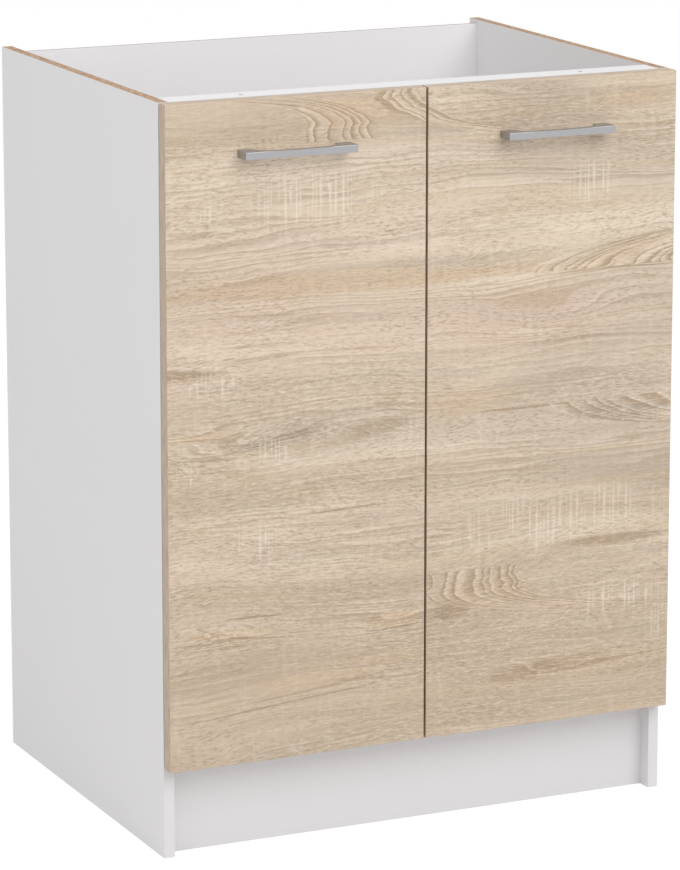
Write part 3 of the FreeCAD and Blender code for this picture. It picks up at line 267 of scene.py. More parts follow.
def make_chip_core():
    """Pressed wood chips: flakes of many tans, coarse in the middle and fine by the faces."""
    group, inlet, outlet = new_group(
        "chip_core",
        [("Coordinates", "NodeSocketVector", (0, 0, 0)), ("Depth", "NodeSocketFloat", 0.0)],
        [("Color", "NodeSocketColor"), ("Height", "NodeSocketFloat")])
    where = inlet.outputs["Coordinates"]
    bends = add_node(group, "ShaderNodeTexNoise", {"Vector": where, "Scale": BENDS_PER_CHIP / CHIP_SIZE,
                                                   "Detail": 2.0})
    shift = stretched(group, bends.outputs["Color"], (CHIP_SIZE, CHIP_SIZE, CHIP_SIZE))
    bent = add_node(group, "ShaderNodeVectorMath", {0: where, 1: shift}, operation="ADD").outputs[0]
    flakes = add_node(group, "ShaderNodeTexVoronoi", {"Vector": bent, "Scale": 1 / CHIP_SIZE})
    dust = add_node(group, "ShaderNodeTexVoronoi", {"Vector": bent, "Scale": 1 / DUST_SIZE})
    tones = [add_node(group, "ShaderNodeSeparateXYZ", {0: cells.outputs["Color"]}).outputs[0]
             for cells in (flakes, dust)]
    fine = ramp_between(group, inlet.outputs["Depth"], *FINE_CHIP_SHARES)
    tone = blend(group, fine, *tones, kind="FLOAT")
    low = blend(group, ramp_between(group, tone, *CHIP_DARK_SHARES), paint(*CHIP_DARK), paint(*CHIP_MID))
    both = blend(group, ramp_between(group, tone, *CHIP_PALE_SHARES), low, paint(*CHIP_PALE))
    gaps = calc(group, "MULTIPLY", flakes.outputs["Distance"], CHIP_GAP_WIDTH, clamp=True)
    colour = blend(group, calc(group, "MULTIPLY", gaps, CHIP_GAP_SHADE), both, paint(*CHIP_DARK))
    height = calc(group, "ADD", tone, calc(group, "MULTIPLY", gaps, -CHIP_GAP_DEPTH))
    group.links.new(colour, outlet.inputs["Color"])
    group.links.new(height, outlet.inputs["Height"])
    return group


def make_pearl_film():
    """Melamine film: an even colour with faint clouding and the fine pearl grain of its press plate."""
    group, inlet, outlet = new_group(
        "pearl_film",
        [("Coordinates", "NodeSocketVector", (0, 0, 0)), ("Color", "NodeSocketColor", grey(0.8))],
        [("Color", "NodeSocketColor"), ("Roughness", "NodeSocketFloat"), ("Height", "NodeSocketFloat")])
    where = inlet.outputs["Coordinates"]
    drift = cloud(group, where, FILM_CLOUDS_PER_METRE, detail=3.0)
    grain = cloud(group, where, 1 / PEARL_SIZE, roughness=0.6)
    darker = blend(group, 1.0, inlet.outputs["Color"], FILM_SHADE, way="MULTIPLY")
    toned = blend(group, drift, inlet.outputs["Color"], darker)
    colour = blend(group, calc(group, "MULTIPLY", grain, PEARL_SHARE), toned, darker)
    group.links.new(colour, outlet.inputs["Color"])
    group.links.new(range_over(group, grain, *FILM_ROUGH), outlet.inputs["Roughness"])
    group.links.new(grain, outlet.inputs["Height"])
    return group


chip_core = make_chip_core()
pearl_film = make_pearl_film()


def board_material(name, node, axis, face_group, face_feeds, paired=False):
    """A faced board: the film on its two faces along one axis, and bare chips between them."""
    low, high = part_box(node)
    middle = (low[axis] + high[axis]) / 2
    half = (high[axis] - low[axis]) / 2
    material, tree, outlet = blank_material(name)
    where = piece_coordinates(tree)
    along = add_node(tree, "ShaderNodeSeparateXYZ", {0: where}).outputs[axis]
    if paired:
        along = calc(tree, "ABSOLUTE", along)
    off_middle = calc(tree, "ABSOLUTE", calc(tree, "SUBTRACT", along, middle))
    depth = calc(tree, "DIVIDE", off_middle, half)
    on_face = calc(tree, "GREATER_THAN", off_middle, half - FILM_THICK)
    core = place_group(tree, chip_core, {"Coordinates": where, "Depth": depth}).outputs
    face = place_group(tree, face_group, {"Coordinates": where, **face_feeds}).outputs
    core_normal = bumped(tree, core["Height"], strength=0.5, distance=0.0004)
    face_normal = bumped(tree, face["Height"], strength=0.12, distance=0.00006)
    give_surface(tree, outlet, {
        "Base Color": blend(tree, on_face, core["Color"], face["Color"]),
        "Roughness": blend(tree, on_face, CHIP_ROUGH, face["Roughness"], kind="FLOAT"),
        "Normal": blend(tree, on_face, core_normal, face_normal, kind="VECTOR")})
    return material


def dress(material, slot, *nodes):
    """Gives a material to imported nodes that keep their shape."""
    for name in nodes:
        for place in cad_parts[name].material_slots:
            place.material = material


white_film = {"Color": paint(*WHITE_PAINT)}
side_material = board_material("white_side", "side_panel_right", X, pearl_film, white_film, paired=True)
dress(side_material, "white_board", "side_panel_left", "side_panel_right")

# The white edge bands: thin melamine strip glued with hot melt to the front edges of both sides, the
# bottom, the front rail and the shelf.
band_material, tree, outlet = blank_material("white_edge_band")
film = place_group(tree, pearl_film, {"Coordinates": piece_coordinates(tree), **white_film}).outputs
give_surface(tree, outlet, {
    "Base Color": film["Color"], "Roughness": film["Roughness"],
    "Normal": bumped(tree, film["Height"], strength=0.1, distance=0.00005)})
dress(band_material, "white_band", "side_bands", "deck_bands")

# The boards between the sides: bottom panel, shelf and flat front rail, and the upright plinth and
# rear rail, all of the same faced chipboard.
for name, axis in (("bottom_panel", Z), ("shelf", Z), ("front_rail", Z), ("plinth_board", Y),
                   ("rear_rail", Y)):
    dress(board_material("white_" + name, name, axis, pearl_film, white_film), "white_board", name)

# The back panel: thin hardboard, lacquered white on the inside and bare brown behind, slid into the
# sides' grooves and nailed to the bottom panel.
LACQUER_WHITE = (248, 248, 250)
HARDBOARD_BROWN = (150, 112, 78)
HARDBOARD_DARK = (112, 80, 54)
HARDBOARD_ROUGH = 0.8
FIBRE_SIZE = 0.0012
FIBRE_STRETCH = (1.0, 1.0, 0.35)
FIBRE_TONES = (0.3, 0.7)
PATCHES_PER_METRE = 14.0
PATCH_SHARE = 0.3
back_material, tree, outlet = blank_material("white_hardboard")
where = piece_coordinates(tree)
back_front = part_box("back_panel")[0][Y]
depth = add_node(tree, "ShaderNodeSeparateXYZ", {0: where}).outputs[Y]
lacquered = calc(tree, "LESS_THAN", depth, back_front + FILM_THICK)
film = place_group(tree, pearl_film, {"Coordinates": where, "Color": paint(*LACQUER_WHITE)}).outputs
fibres = cloud(tree, stretched(tree, where, FIBRE_STRETCH), 1 / FIBRE_SIZE, detail=5.0, roughness=0.7)
patches = cloud(tree, where, PATCHES_PER_METRE, detail=4.0)
pale_fibres = ramp_between(tree, fibres, *FIBRE_TONES)
brown = blend(tree, pale_fibres, paint(*HARDBOARD_DARK), paint(*HARDBOARD_BROWN))
brown = blend(tree, calc(tree, "MULTIPLY", patches, PATCH_SHARE), brown, paint(*HARDBOARD_DARK))
give_surface(tree, outlet, {
    "Base Color": blend(tree, lacquered, brown, film["Color"]),
    "Roughness": blend(tree, lacquered, HARDBOARD_ROUGH, film["Roughness"], kind="FLOAT"),
    "Normal": bumped(tree, fibres, strength=0.15, distance=0.0001)})
dress(back_material, "white_hardboard", "back_panel")

# Steel, zinc and beech fittings that hold the case together: cam bolts and cam locks, fluted dowels,
# and nickel shelf pins.
METAL_SHADE = 0.93
METAL_HAZE_PER_METRE = 60.0
# how much of the uneven polish comes from the streaks, and how much from the haze
STREAK_SHARE = 0.7
HAZE_SHARE = 0.3
BEECH_PALE = (222, 190, 150)
BEECH_DARK = (190, 152, 112)
FLUTE_SIZE = 0.000625
FLUTE_STRETCH = (0.08, 1.0, 1.0)


def metal_material(name, colour, rough, unevenness, grain, marks=(1.0, 1.0, 1.0)):
    """A plain metal with fine, slightly uneven polish, drawn out along one axis where it is brushed."""
    material, tree, outlet = blank_material(name)
    where = piece_coordinates(tree)
    streaks = cloud(tree, stretched(tree, where, marks), 1 / grain, detail=3.0, roughness=0.6)
    haze = cloud(tree, where, METAL_HAZE_PER_METRE)
    uneven = calc(tree, "ADD", calc(tree, "MULTIPLY", streaks, STREAK_SHARE),
                  calc(tree, "MULTIPLY", haze, HAZE_SHARE))
    shade = paint(*[level * METAL_SHADE for level in colour])
    give_surface(tree, outlet, {
        "Base Color": blend(tree, streaks, shade, paint(*colour)),
        "Roughness": range_over(tree, uneven, rough - unevenness, rough + unevenness),
        "Metallic": 1.0,
        "Normal": bumped(tree, streaks, strength=0.1, distance=0.00003)})
    return material


zinc = metal_material("cast_zinc", (168, 170, 172), rough=0.48, unevenness=0.10, grain=0.0008)
steel = metal_material("bright_steel", (186, 186, 184), rough=0.30, unevenness=0.08, grain=0.0010)
nickel = metal_material("nickelled_steel", (192, 189, 182), rough=0.24, unevenness=0.07, grain=0.0012)
dress(zinc, "cam_metal", "cam_locks")
dress(steel, "fastener_steel", "cam_bolts")
dress(nickel, "hinge_steel", "shelf_pins")

beech, tree, outlet = blank_material("beech_dowel")
flutes = cloud(tree, stretched(tree, piece_coordinates(tree), FLUTE_STRETCH), 1 / FLUTE_SIZE)
give_surface(tree, outlet, {
    "Base Color": blend(tree, flutes, paint(*BEECH_DARK), paint(*BEECH_PALE)), "Roughness": 0.7,
    "Normal": bumped(tree, flutes, strength=0.5, distance=0.0003)})
dress(beech, "dowel_wood", "wood_dowels")

# The back panel's nails: drawn steel with a thin domed head, driven through the hardboard into the rear
# edge of the bottom panel.
NAIL_ROUND = 0.0008
NAIL_HEAD_THICK = 0.0008
# share of the head's radius, and how far down the head
NAIL_DOME_SHARES = [(0.0, 0.0), (0.35, 0.06), (0.68, 0.25), (0.90, 0.55), (1.0, 0.85), (1.0, 1.0)]
WELD = 0.000002
TURN_STEPS = 24
SHARP_ANGLE = math.radians(38)


def solid_boxes(name):
    """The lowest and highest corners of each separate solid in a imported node."""
    shape = bmesh.new()
    shape.from_mesh(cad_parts[name].data)
    bmesh.ops.remove_doubles(shape, verts=shape.verts, dist=WELD)
    waiting = set(shape.verts)
    boxes = []
    while waiting:
        reached = [waiting.pop()]
        for vert in reached:
            for edge in vert.link_edges:
                other = edge.other_vert(vert)
                if other in waiting:
                    waiting.discard(other)
                    reached.append(other)
        boxes.append([Vector([pick(vert.co[axis] for vert in reached) for axis in (X, Y, Z)])
                      for pick in (min, max)])
    shape.free()
    return sorted(boxes, key=lambda pair: tuple(pair[0]))


def round_and_length(node, axis):
    """The radius of a node's first solid at its widest, from its height, and its length on its axis."""
    low, high = solid_boxes(node)[0]
    return (high[Z] - low[Z]) / 2, high[axis] - low[axis]


def turned_shape(outline):
    """A closed shape turned about Z, from points of radius and height that start and end on it."""
    shape = bmesh.new()
    verts = [shape.verts.new((radius, 0, height)) for radius, height in outline]
    edges = [shape.edges.new(pair) for pair in zip(verts, verts[1:])]
    bmesh.ops.spin(shape, geom=verts + edges, cent=(0, 0, 0), axis=(0, 0, 1), angle=2 * math.pi,
                   steps=TURN_STEPS, use_merge=True)
    bmesh.ops.remove_doubles(shape, verts=shape.verts, dist=WELD)
    bmesh.ops.recalc_face_normals(shape, faces=shape.faces)
    return shape


def headed_outline(head_shares, head_round, head_thick, shank_round, length):
    """A head's outline carried on down its shank to a point."""
    return ([(share * head_round, -down * head_thick) for share, down in head_shares]
            + [(shank_round, -head_thick), (shank_round, shank_round - length), (0.0, -length)])


def repeat_shape(name, shape, node, axis, body, material):
    """Puts a shape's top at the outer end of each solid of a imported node, and stands in for the node."""
    for face in shape.faces:
        face.smooth = True
    for edge in shape.edges:
        edge.smooth = edge.calc_face_angle(0.0) < SHARP_ANGLE
    pattern = bpy.data.meshes.new(name + "_pattern")
    shape.to_mesh(pattern)
    shape.free()
    whole = bmesh.new()
    for low, high in solid_boxes(node):
        top = (low + high) / 2
        facing = Vector((0.0, 0.0, 0.0))
        # what lies along Y faces the rear, and what lies along X faces the middle of the cabinet
        facing[axis] = 1.0 if axis == Y or top.x < 0 else -1.0
        top[axis] = high[axis] if facing[axis] > 0 else low[axis]
        turn = Vector((0.0, 0.0, 1.0)).rotation_difference(facing).to_matrix().to_4x4()
        count = len(whole.verts)
        whole.from_mesh(pattern)
        whole.verts.ensure_lookup_table()
        bmesh.ops.transform(whole, matrix=Matrix.Translation(top) @ turn, verts=whole.verts[count:])
    mesh = bpy.data.meshes.new(name)
    whole.to_mesh(mesh)
    whole.free()
    bpy.data.meshes.remove(pattern)
    mesh.materials.append(material)
    piece = bpy.data.objects.new(name, mesh)
    bpy.context.scene.collection.objects.link(piece)
    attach(piece, body)
    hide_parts(node)


nail_head_round, nail_long = round_and_length("back_nails", Y)
nail = turned_shape(headed_outline(NAIL_DOME_SHARES, nail_head_round, NAIL_HEAD_THICK, NAIL_ROUND,
                                   nail_long))
repeat_shape("domed_nails", nail, "back_nails", Y, "carcass", steel)

# The doors: 16 mm chipboard in a printed light oak decor whose grain runs across both leaves, with
# pores, flowing bands, a few eyes and the pale marks of a frame saw.
OAK_LIGHT = (240, 224, 204)
OAK_MID = (220, 201, 178)
OAK_SHADE = (195, 175, 152)
OAK_TAN = (208, 182, 150)
OAK_BROWN = (162, 136, 108)
OAK_GREY = (166, 152, 136)
OAK_PINK = (222, 196, 178)
OAK_LINE = (168, 144, 117)
OAK_PORE = (154, 130, 104)
OAK_SAWN = (246, 236, 220)
OAK_ROUGH = (0.48, 0.66)
# The print is laid out in dm, along from the cabinet's middle and up from the floor.
DM_PER_METRE = 10
# Waves that bend the grain: how many to the dm along and across, where in the noise, their size, and
# for the fans the noise's detail. And how many to the dm any of the print's noise has through the board.
OAK_FIBRE_WAVES = [
    (0.25, 0.6, 3.1, 0.45),
    (0.80, 1.8, 7.7, 0.10),
    (2.50, 6.0, 9.1, 0.03),
]
OAK_RING_WAVES = (1.6, 4.0, 13.1, 0.07)
OAK_PORE_WAVES = (1.0, 1.5, 101.3, 0.26)
OAK_FAN_WAVES = (0.9, 4.5, 19.7, 0.34, 2.0)
OAK_DEPTH_WAVES = 1.5
# Fields of noise: the lines that each follows, how many waves to the dm along them and across, where in
# the noise, its detail and its roughness.
OAK_FIELDS = {
    "bands": ("rings", 0.14, 2.2, 11.3, 2.0, 0.5),
    "drift": ("rings", 0.25, 5.0, 17.9, 2.0, 0.5),
    "threads": ("fibres", 0.8, 58.0, 23.3, 2.0, 0.6),
    "hairs": ("fibres", 12.0, 66.0, 29.9, 2.0, 0.7),
    "flames": ("rings", 0.30, 8.0, 67.3, 2.0, 0.5),
    "pores": ("pores", 14.0, 72.0, 31.7, 1.0, 0.5),
    "pore_places": ("level", 0.8, 2.4, 41.1, 2.0, 0.5),
    "tints": ("rings", 0.20, 1.0, 47.3, 2.0, 0.5),
    "clear": ("rings", 0.35, 2.6, 59.3, 2.0, 0.5),
    "moods": ("rings", 0.22, 1.3, 83.1, 1.0, 0.5),
    "jumps": ("level", 16.0, 1.6, 61.7, 1.0, 0.5),
}
# Where the bands turn from the shade to the middling colour.
OAK_GROUND = (0.28, 0.66)
# Tones: the field that each follows, the values where it starts and is full, its tint and its share.
# The fine ones are fainter where the grain is quiet, and have that much more where it is lively.
OAK_BROAD_TONES = [
    ("bands", 0.48, 0.76, OAK_LIGHT, 0.45),
    ("tints", 0.54, 0.70, OAK_PINK, 0.35),
    ("tints", 0.47, 0.32, OAK_GREY, 0.45),
]
OAK_FLAME_TONES = [
    ("flames", 0.55, 0.68, OAK_TAN, 0.36),
    ("flames", 0.45, 0.32, OAK_GREY, 0.28),
]
OAK_FINE_TONES = [
    ("threads", 0.50, 0.28, OAK_SHADE, 0.36),
    ("threads", 0.52, 0.74, OAK_LIGHT, 0.42),
    ("hairs", 0.48, 0.30, OAK_LINE, 0.50),
    ("hairs", 0.52, 0.72, OAK_LIGHT, 0.46),
]
OAK_MOODS = (0.36, 0.64)
OAK_QUIET_SHARE = 0.50
OAK_LIVELY_MORE_SHARE = 0.70
# Eyes: middle along and up, reach along, half height, turn in degrees, and how far they lift the rings.
OAK_EYES = [
    (-2.40, 7.90, 1.40, 0.26, 0, 0.16),
    (-0.30, 8.02, 0.45, 0.20, 0, -0.15),
    (-1.60, 6.14, 0.50, 0.14, 0, 0.08),
    (-2.30, 4.48, 1.30, 0.17, 6, 0.15),
    (-2.95, 4.64, 0.90, 0.15, 0, 0.13),
    (-2.10, 4.06, 0.50, 0.10, 0, 0.09),
    (-0.38, 2.39, 0.55, 0.13, 2, 0.10),
    (-2.90, 2.42, 1.30, 0.16, 0, 0.14),
    (1.50, 1.60, 0.70, 0.13, 0, 0.12),
    (-2.00, 1.72, 0.25, 0.08, 0, 0.04),
    (1.60, 5.60, 1.40, 0.30, 0, 0.16),
    (-1.00, 3.10, 1.20, 0.22, 0, -0.12),
]
# Fans of rings: where each starts on its straight seam and how far along it goes, 1 for a fan that
# spreads to the right and -1 to the left, the same for over the seam and under it, how much and how late
# its rings curl, and how many it has to the dm.
OAK_FANS = [
    (1.25, 6.06, 9.0, 1, 1, 13.0, 2.0, 5.6),
    (1.50, 4.60, 9.0, 1, -1, 11.0, 2.0, 4.4),
    (0.02, 2.84, 1.1, 1, -1, 14.0, 4.0, 7.0),
    (-0.56, 7.66, 0.80, -1, 1, 16.0, 4.0, 8.0),
    (-0.58, 8.22, 0.50, 1, -1, 6.0, 3.0, 7.0),
]
# Streaks, lenses and dark lines: placed as the eyes are, with a tint and its share.
OAK_STREAKS = [
    # the first three run across both doors, making them paler over the upper and middle heights and darker
    # towards the bottom
    (0.0, 6.95, 7.00, 0.90, 0, OAK_LIGHT, 0.28),
    (0.0, 5.00, 7.00, 1.60, 0, OAK_LIGHT, 0.20),
    (0.0, 2.00, 7.00, 1.40, 0, OAK_SHADE, 0.60),
    (-2.60, 3.90, 1.50, 0.70, 0, OAK_SHADE, 0.30),
    (-2.90, 5.29, 0.70, 0.08, -4, OAK_BROWN, 0.75),
    (-1.90, 5.40, 0.60, 0.04, 4, OAK_BROWN, 0.45),
    (-0.75, 5.40, 0.95, 0.09, 0, OAK_PINK, 0.60),
    (-2.65, 4.37, 0.60, 0.03, 0, OAK_GREY, 0.85),
    (-0.55, 4.55, 0.80, 0.11, 11, OAK_PORE, 0.42),
    (-2.65, 4.62, 0.55, 0.06, 3, OAK_TAN, 0.85),
    (-1.40, 6.15, 2.20, 0.18, 0, OAK_TAN, 0.65),
    (1.15, 4.59, 0.80, 0.02, 0, OAK_BROWN, 0.75),
    (0.50, 4.72, 0.75, 0.22, 5, OAK_TAN, 0.55),
    (1.80, 2.34, 1.10, 0.09, 0, OAK_PINK, 0.65),
    (2.60, 7.93, 0.70, 0.14, 3, OAK_TAN, 0.60),
    (2.30, 6.20, 0.95, 0.13, 16, OAK_TAN, 0.65),
    (2.30, 6.04, 0.95, 0.02, 0, OAK_BROWN, 0.65),
    (2.30, 3.00, 0.95, 0.09, 0, OAK_BROWN, 0.70),
    (-1.05, 1.90, 1.35, 0.18, 4, OAK_TAN, 0.55),
    (-1.60, 1.62, 1.70, 0.02, 5, OAK_BROWN, 0.65),
    (-1.20, 1.74, 1.40, 0.02, 5, OAK_BROWN, 0.55),
    (2.40, 4.46, 0.80, 0.12, 0, OAK_GREY, 0.70),
    (-1.75, 4.52, 0.70, 0.10, 9, OAK_GREY, 0.95),
    (-1.60, 4.54, 0.50, 0.06, 11, OAK_PORE, 0.60),
    (-0.38, 2.39, 0.46, 0.11, 2, OAK_TAN, 0.95),
    (-0.36, 2.30, 0.46, 0.02, 4, OAK_BROWN, 0.80),
    (-2.30, 2.44, 0.70, 0.08, -2, OAK_TAN, 0.90),
    (-1.95, 2.37, 0.45, 0.02, -6, OAK_PORE, 0.85),
    (-2.00, 2.60, 0.50, 0.02, 0, OAK_PORE, 0.80),
    (-0.95, 3.66, 0.65, 0.02, 2, OAK_PORE, 0.75),
    (1.55, 1.62, 0.95, 0.12, 3, OAK_BROWN, 0.75),
    (2.30, 1.62, 1.00, 0.02, 4, OAK_BROWN, 0.80),
    (-1.50, 5.75, 1.80, 0.30, 0, OAK_PINK, 0.50),
    (1.10, 5.58, 1.70, 0.46, 0, OAK_PINK, 0.48),
    (0.60, 6.10, 1.50, 0.08, 1, OAK_TAN, 0.85),
    (0.30, 2.42, 0.36, 0.16, 12, OAK_BROWN, 0.75),
    (0.75, 2.55, 0.75, 0.20, 0, OAK_TAN, 0.55),
    (-0.90, 7.95, 0.75, 0.26, 0, OAK_TAN, 0.70),
]
# How much of a streak's reach, and of a patch's, is flat on top.
OAK_STREAK_FLAT_SHARE = 0.4
OAK_PATCH_FLAT_SHARE = 0.3
# How far the streaks' edges wander in dm, and the ring lines in rings.
OAK_EDGE_DRIFT = 0.12
OAK_RING_DRIFT = 5.0
# Places where the ring lines are plain to see: placed as the eyes are, with a share.
OAK_PLAIN_RINGS = [
    (-2.20, 4.50, 1.20, 0.20, 5, 1.0),
    (-2.70, 4.68, 0.90, 0.14, 0, 0.9),
    (-0.80, 5.36, 1.00, 0.14, 0, 0.9),
    (-2.50, 2.40, 1.40, 0.24, 0, 0.9),
    (-0.60, 2.50, 1.00, 0.26, 4, 0.9),
    (2.30, 6.15, 1.10, 0.28, 8, 0.9),
    (1.50, 1.65, 1.00, 0.20, 0, 0.9),
]
RINGS_PER_DM = 13.0
OAK_CLEAR = (0.40, 0.64)
OAK_CLEAR_SHARE = 0.7
# Where in each ring the late wood darkens and ends, and where the early wood turns pale.
OAK_LATE_START = (0.45, 0.90)
OAK_LATE_END = (1.0, 0.93)
OAK_EARLY = (0.45, 0.05)
OAK_LATE_SHARE = 0.62
OAK_FAN_LATE_SHARE = 0.45
OAK_EARLY_SHARE = 0.36
# Patches of the saw's marks: placed as the eyes are, with a share.
OAK_SAWING = [
    (-1.34, 7.14, 1.00, 0.36, 0, 0.8),
    (-2.48, 7.01, 0.26, 0.18, 0, 0.6),
    (-2.47, 5.19, 0.46, 0.20, 0, 0.7),
    (-1.79, 4.44, 0.28, 0.22, 0, 0.7),
    (-2.01, 3.47, 0.34, 0.26, 0, 0.8),
    (-0.18, 4.38, 0.26, 0.30, 0, 0.7),
    (-2.78, 4.23, 0.22, 0.20, 0, 0.6),
    (2.00, 7.06, 0.38, 0.32, 0, 0.8),
    (1.25, 3.34, 1.10, 0.38, 0, 0.6),
    (2.20, 3.42, 1.00, 0.34, 0, 0.6),
    (2.41, 2.40, 0.70, 0.20, 0, 0.7),
    (2.90, 2.03, 0.20, 0.28, 0, 0.6),
]
SAW_MARKS_PER_DM = 16.0
# The saw's upright marks and its fainter level ones: their width as a share of their spacing, how far
# they wander, in marks, and where the upright ones break off.
UPRIGHT_WIDTH_SHARE = 0.30
UPRIGHT_WANDER = 4.0
UPRIGHT_BREAKS = (0.34, 0.56)
LEVEL_WIDTH_SHARE = 0.24
LEVEL_WANDER = 0.6
LEVEL_SHARE = 0.5
# The noise that they wander with: waves to the dm along and across, where in the noise, its detail.
SAW_WANDER_WAVES = (5.0, 0.0, 71.9, 1.0)
# How far the patches' edges jump in dm, and how pale the marks are.
SAW_EDGE_JUMPS = 0.6
SAWN_SHARE = 0.75
# Faint pale dashes all over, and the pores.
OAK_DASHES = (0.54, 0.76)
OAK_DASH_SHARE = 0.08
OAK_PORE_PLACES = (0.25, 0.65)
OAK_PORES = (0.50, 0.72)
OAK_PORE_SHARE = 0.52
OAK_THREAD_RELIEF = 0.3

oak_decor, inlet, outlet = new_group(
    "oak_decor", [("Coordinates", "NodeSocketVector", (0, 0, 0))],
    [("Color", "NodeSocketColor"), ("Roughness", "NodeSocketFloat"), ("Height", "NodeSocketFloat")])
in_dm = stretched(oak_decor, inlet.outputs["Coordinates"], (DM_PER_METRE, DM_PER_METRE, DM_PER_METRE))
print_along, print_through, print_up = add_node(oak_decor, "ShaderNodeSeparateXYZ", {0: in_dm}).outputs


def plus(first, second):
    """The sum of two of the print's values."""
    return calc(oak_decor, "ADD", first, second)


def minus(first, second):
    """What is left of the first value without the second."""
    return calc(oak_decor, "SUBTRACT", first, second)


def times(first, second):
    """The product of two of the print's values."""
    return calc(oak_decor, "MULTIPLY", first, second)


def larger(first, second):
    """The larger of two of the print's values."""
    return calc(oak_decor, "MAXIMUM", first, second)


def centred(value, size):
    """Noise made to swing evenly about 0."""
    return times(minus(value, 0.5), size)


def oak_ramp(value, low, high):
    """A smooth mask from 0 at the low value to 1 at the high one."""
    return ramp_between(oak_decor, value, low, high)


def grain_field(follows, along_waves, across_waves, seed, detail=1.0, roughness=0.5):
    """Noise drawn out along the lines that it follows."""
    point = add_node(oak_decor, "ShaderNodeCombineXYZ", {
        0: times(print_along, along_waves), 1: times(follows, across_waves),
        2: plus(times(print_through, OAK_DEPTH_WAVES), seed)})
    return cloud(oak_decor, point.outputs[0], 1.0, detail, roughness)


def waved(value, along_waves, across_waves, seed, size, detail=1.0):
    """A coordinate of the print bent by noise."""
    return plus(value, centred(grain_field(print_up, along_waves, across_waves, seed, detail), size))


def print_plane(height):
    """Points of the print, along and up."""
    return add_node(oak_decor, "ShaderNodeCombineXYZ", {0: print_along, 1: height}).outputs[0]


def hill(surface, x, z, reach, half, turn, height, flat_share=0.0):
    """A smooth oval hill at one place on the print, as high as given over its flat middle."""
    seen = add_node(oak_decor, "ShaderNodeMapping", {
        "Vector": surface, "Location": (x, z, 0), "Rotation": (0, 0, math.radians(turn)),
        "Scale": (reach, half, 1)}, vector_type="TEXTURE")
    far = add_node(oak_decor, "ShaderNodeVectorMath", {0: seen.outputs[0]}, operation="LENGTH")
    rise = add_node(oak_decor, "ShaderNodeMapRange", {
        "Value": far.outputs["Value"], "From Min": 1.0, "From Max": flat_share, "To Max": height},
        interpolation_type="SMOOTHSTEP")
    return rise.outputs[0]


def comb(value, width_share):
    """Thin even lines, one for each whole step of the value."""
    off_step = calc(oak_decor, "ABSOLUTE", minus(calc(oak_decor, "FRACT", value), 0.5))
    return oak_ramp(off_step, 0.5 - width_share, 0.5)


def tinted(colour, share, tone):
    """A colour with a share of a tone in it."""
    return blend(oak_decor, share, colour, paint(*tone))


# the lines of the grain: fibres that wave gently, and rings that bend round the eyes and curl in fans
fibres = print_up
for waves in OAK_FIBRE_WAVES:
    fibres = waved(fibres, *waves)
rings = waved(fibres, *OAK_RING_WAVES)
level_plane = print_plane(print_up)
for eye in OAK_EYES:
    rings = plus(rings, hill(level_plane, *eye))
fan_along = waved(print_along, *OAK_FAN_WAVES)
in_fans = 0.0
for x, z, reach, side, rise, curl, power, lines in OAK_FANS:
    off_seam = times(minus(print_up, z), rise)
    curled = times(calc(oak_decor, "POWER", off_seam, power), curl)
    past = minus(times(minus(fan_along, x), side), curled)
    inside = times(calc(oak_decor, "GREATER_THAN", past, 0.0), calc(oak_decor, "LESS_THAN", past, reach))
    here = times(calc(oak_decor, "GREATER_THAN", off_seam, 0.0), inside)
    fanned = plus(times(past, lines / RINGS_PER_DM), z)
    rings = blend(oak_decor, here, rings, fanned, kind="FLOAT")
    in_fans = larger(in_fans, here)

pore_lines = waved(fibres, *OAK_PORE_WAVES)
grain_lines = {"level": print_up, "fibres": fibres, "rings": rings, "pores": pore_lines}
fields = {name: grain_field(grain_lines[follows], *waves)
          for name, (follows, *waves) in OAK_FIELDS.items()}

# the ground colour with its broad tones, and the streaks over it
colour = blend(oak_decor, oak_ramp(fields["bands"], *OAK_GROUND), paint(*OAK_SHADE), paint(*OAK_MID))
for name, low, high, tone, share in OAK_BROAD_TONES:
    colour = tinted(colour, times(oak_ramp(fields[name], low, high), share), tone)
drifting_plane = print_plane(plus(print_up, centred(fields["drift"], OAK_EDGE_DRIFT)))
for x, z, reach, half, turn, tone, share in OAK_STREAKS:
    streak = hill(drifting_plane, x, z, reach, half, turn, share, OAK_STREAK_FLAT_SHARE)
    colour = tinted(colour, streak, tone)
for name, low, high, tone, share in OAK_FLAME_TONES:
    colour = tinted(colour, times(oak_ramp(fields[name], low, high), share), tone)

# the ring lines, where the rings show, and the fine threads and hairs
ring_count = plus(times(rings, RINGS_PER_DM), centred(fields["drift"], OAK_RING_DRIFT))
in_ring = calc(oak_decor, "FRACT", ring_count)
ringed = larger(times(oak_ramp(fields["clear"], *OAK_CLEAR), OAK_CLEAR_SHARE), in_fans)
for place in OAK_PLAIN_RINGS:
    ringed = larger(ringed, hill(drifting_plane, *place, OAK_PATCH_FLAT_SHARE))
late = times(oak_ramp(in_ring, *OAK_LATE_START), oak_ramp(in_ring, *OAK_LATE_END))
early = oak_ramp(in_ring, *OAK_EARLY)
colour = tinted(colour, times(times(late, ringed), OAK_LATE_SHARE), OAK_LINE)
colour = tinted(colour, times(times(late, in_fans), OAK_FAN_LATE_SHARE), OAK_BROWN)
colour = tinted(colour, times(times(early, ringed), OAK_EARLY_SHARE), OAK_LIGHT)
lively = plus(times(oak_ramp(fields["moods"], *OAK_MOODS), OAK_LIVELY_MORE_SHARE), OAK_QUIET_SHARE)
for name, low, high, tone, share in OAK_FINE_TONES:
    colour = tinted(colour, times(times(oak_ramp(fields[name], low, high), lively), share), tone)

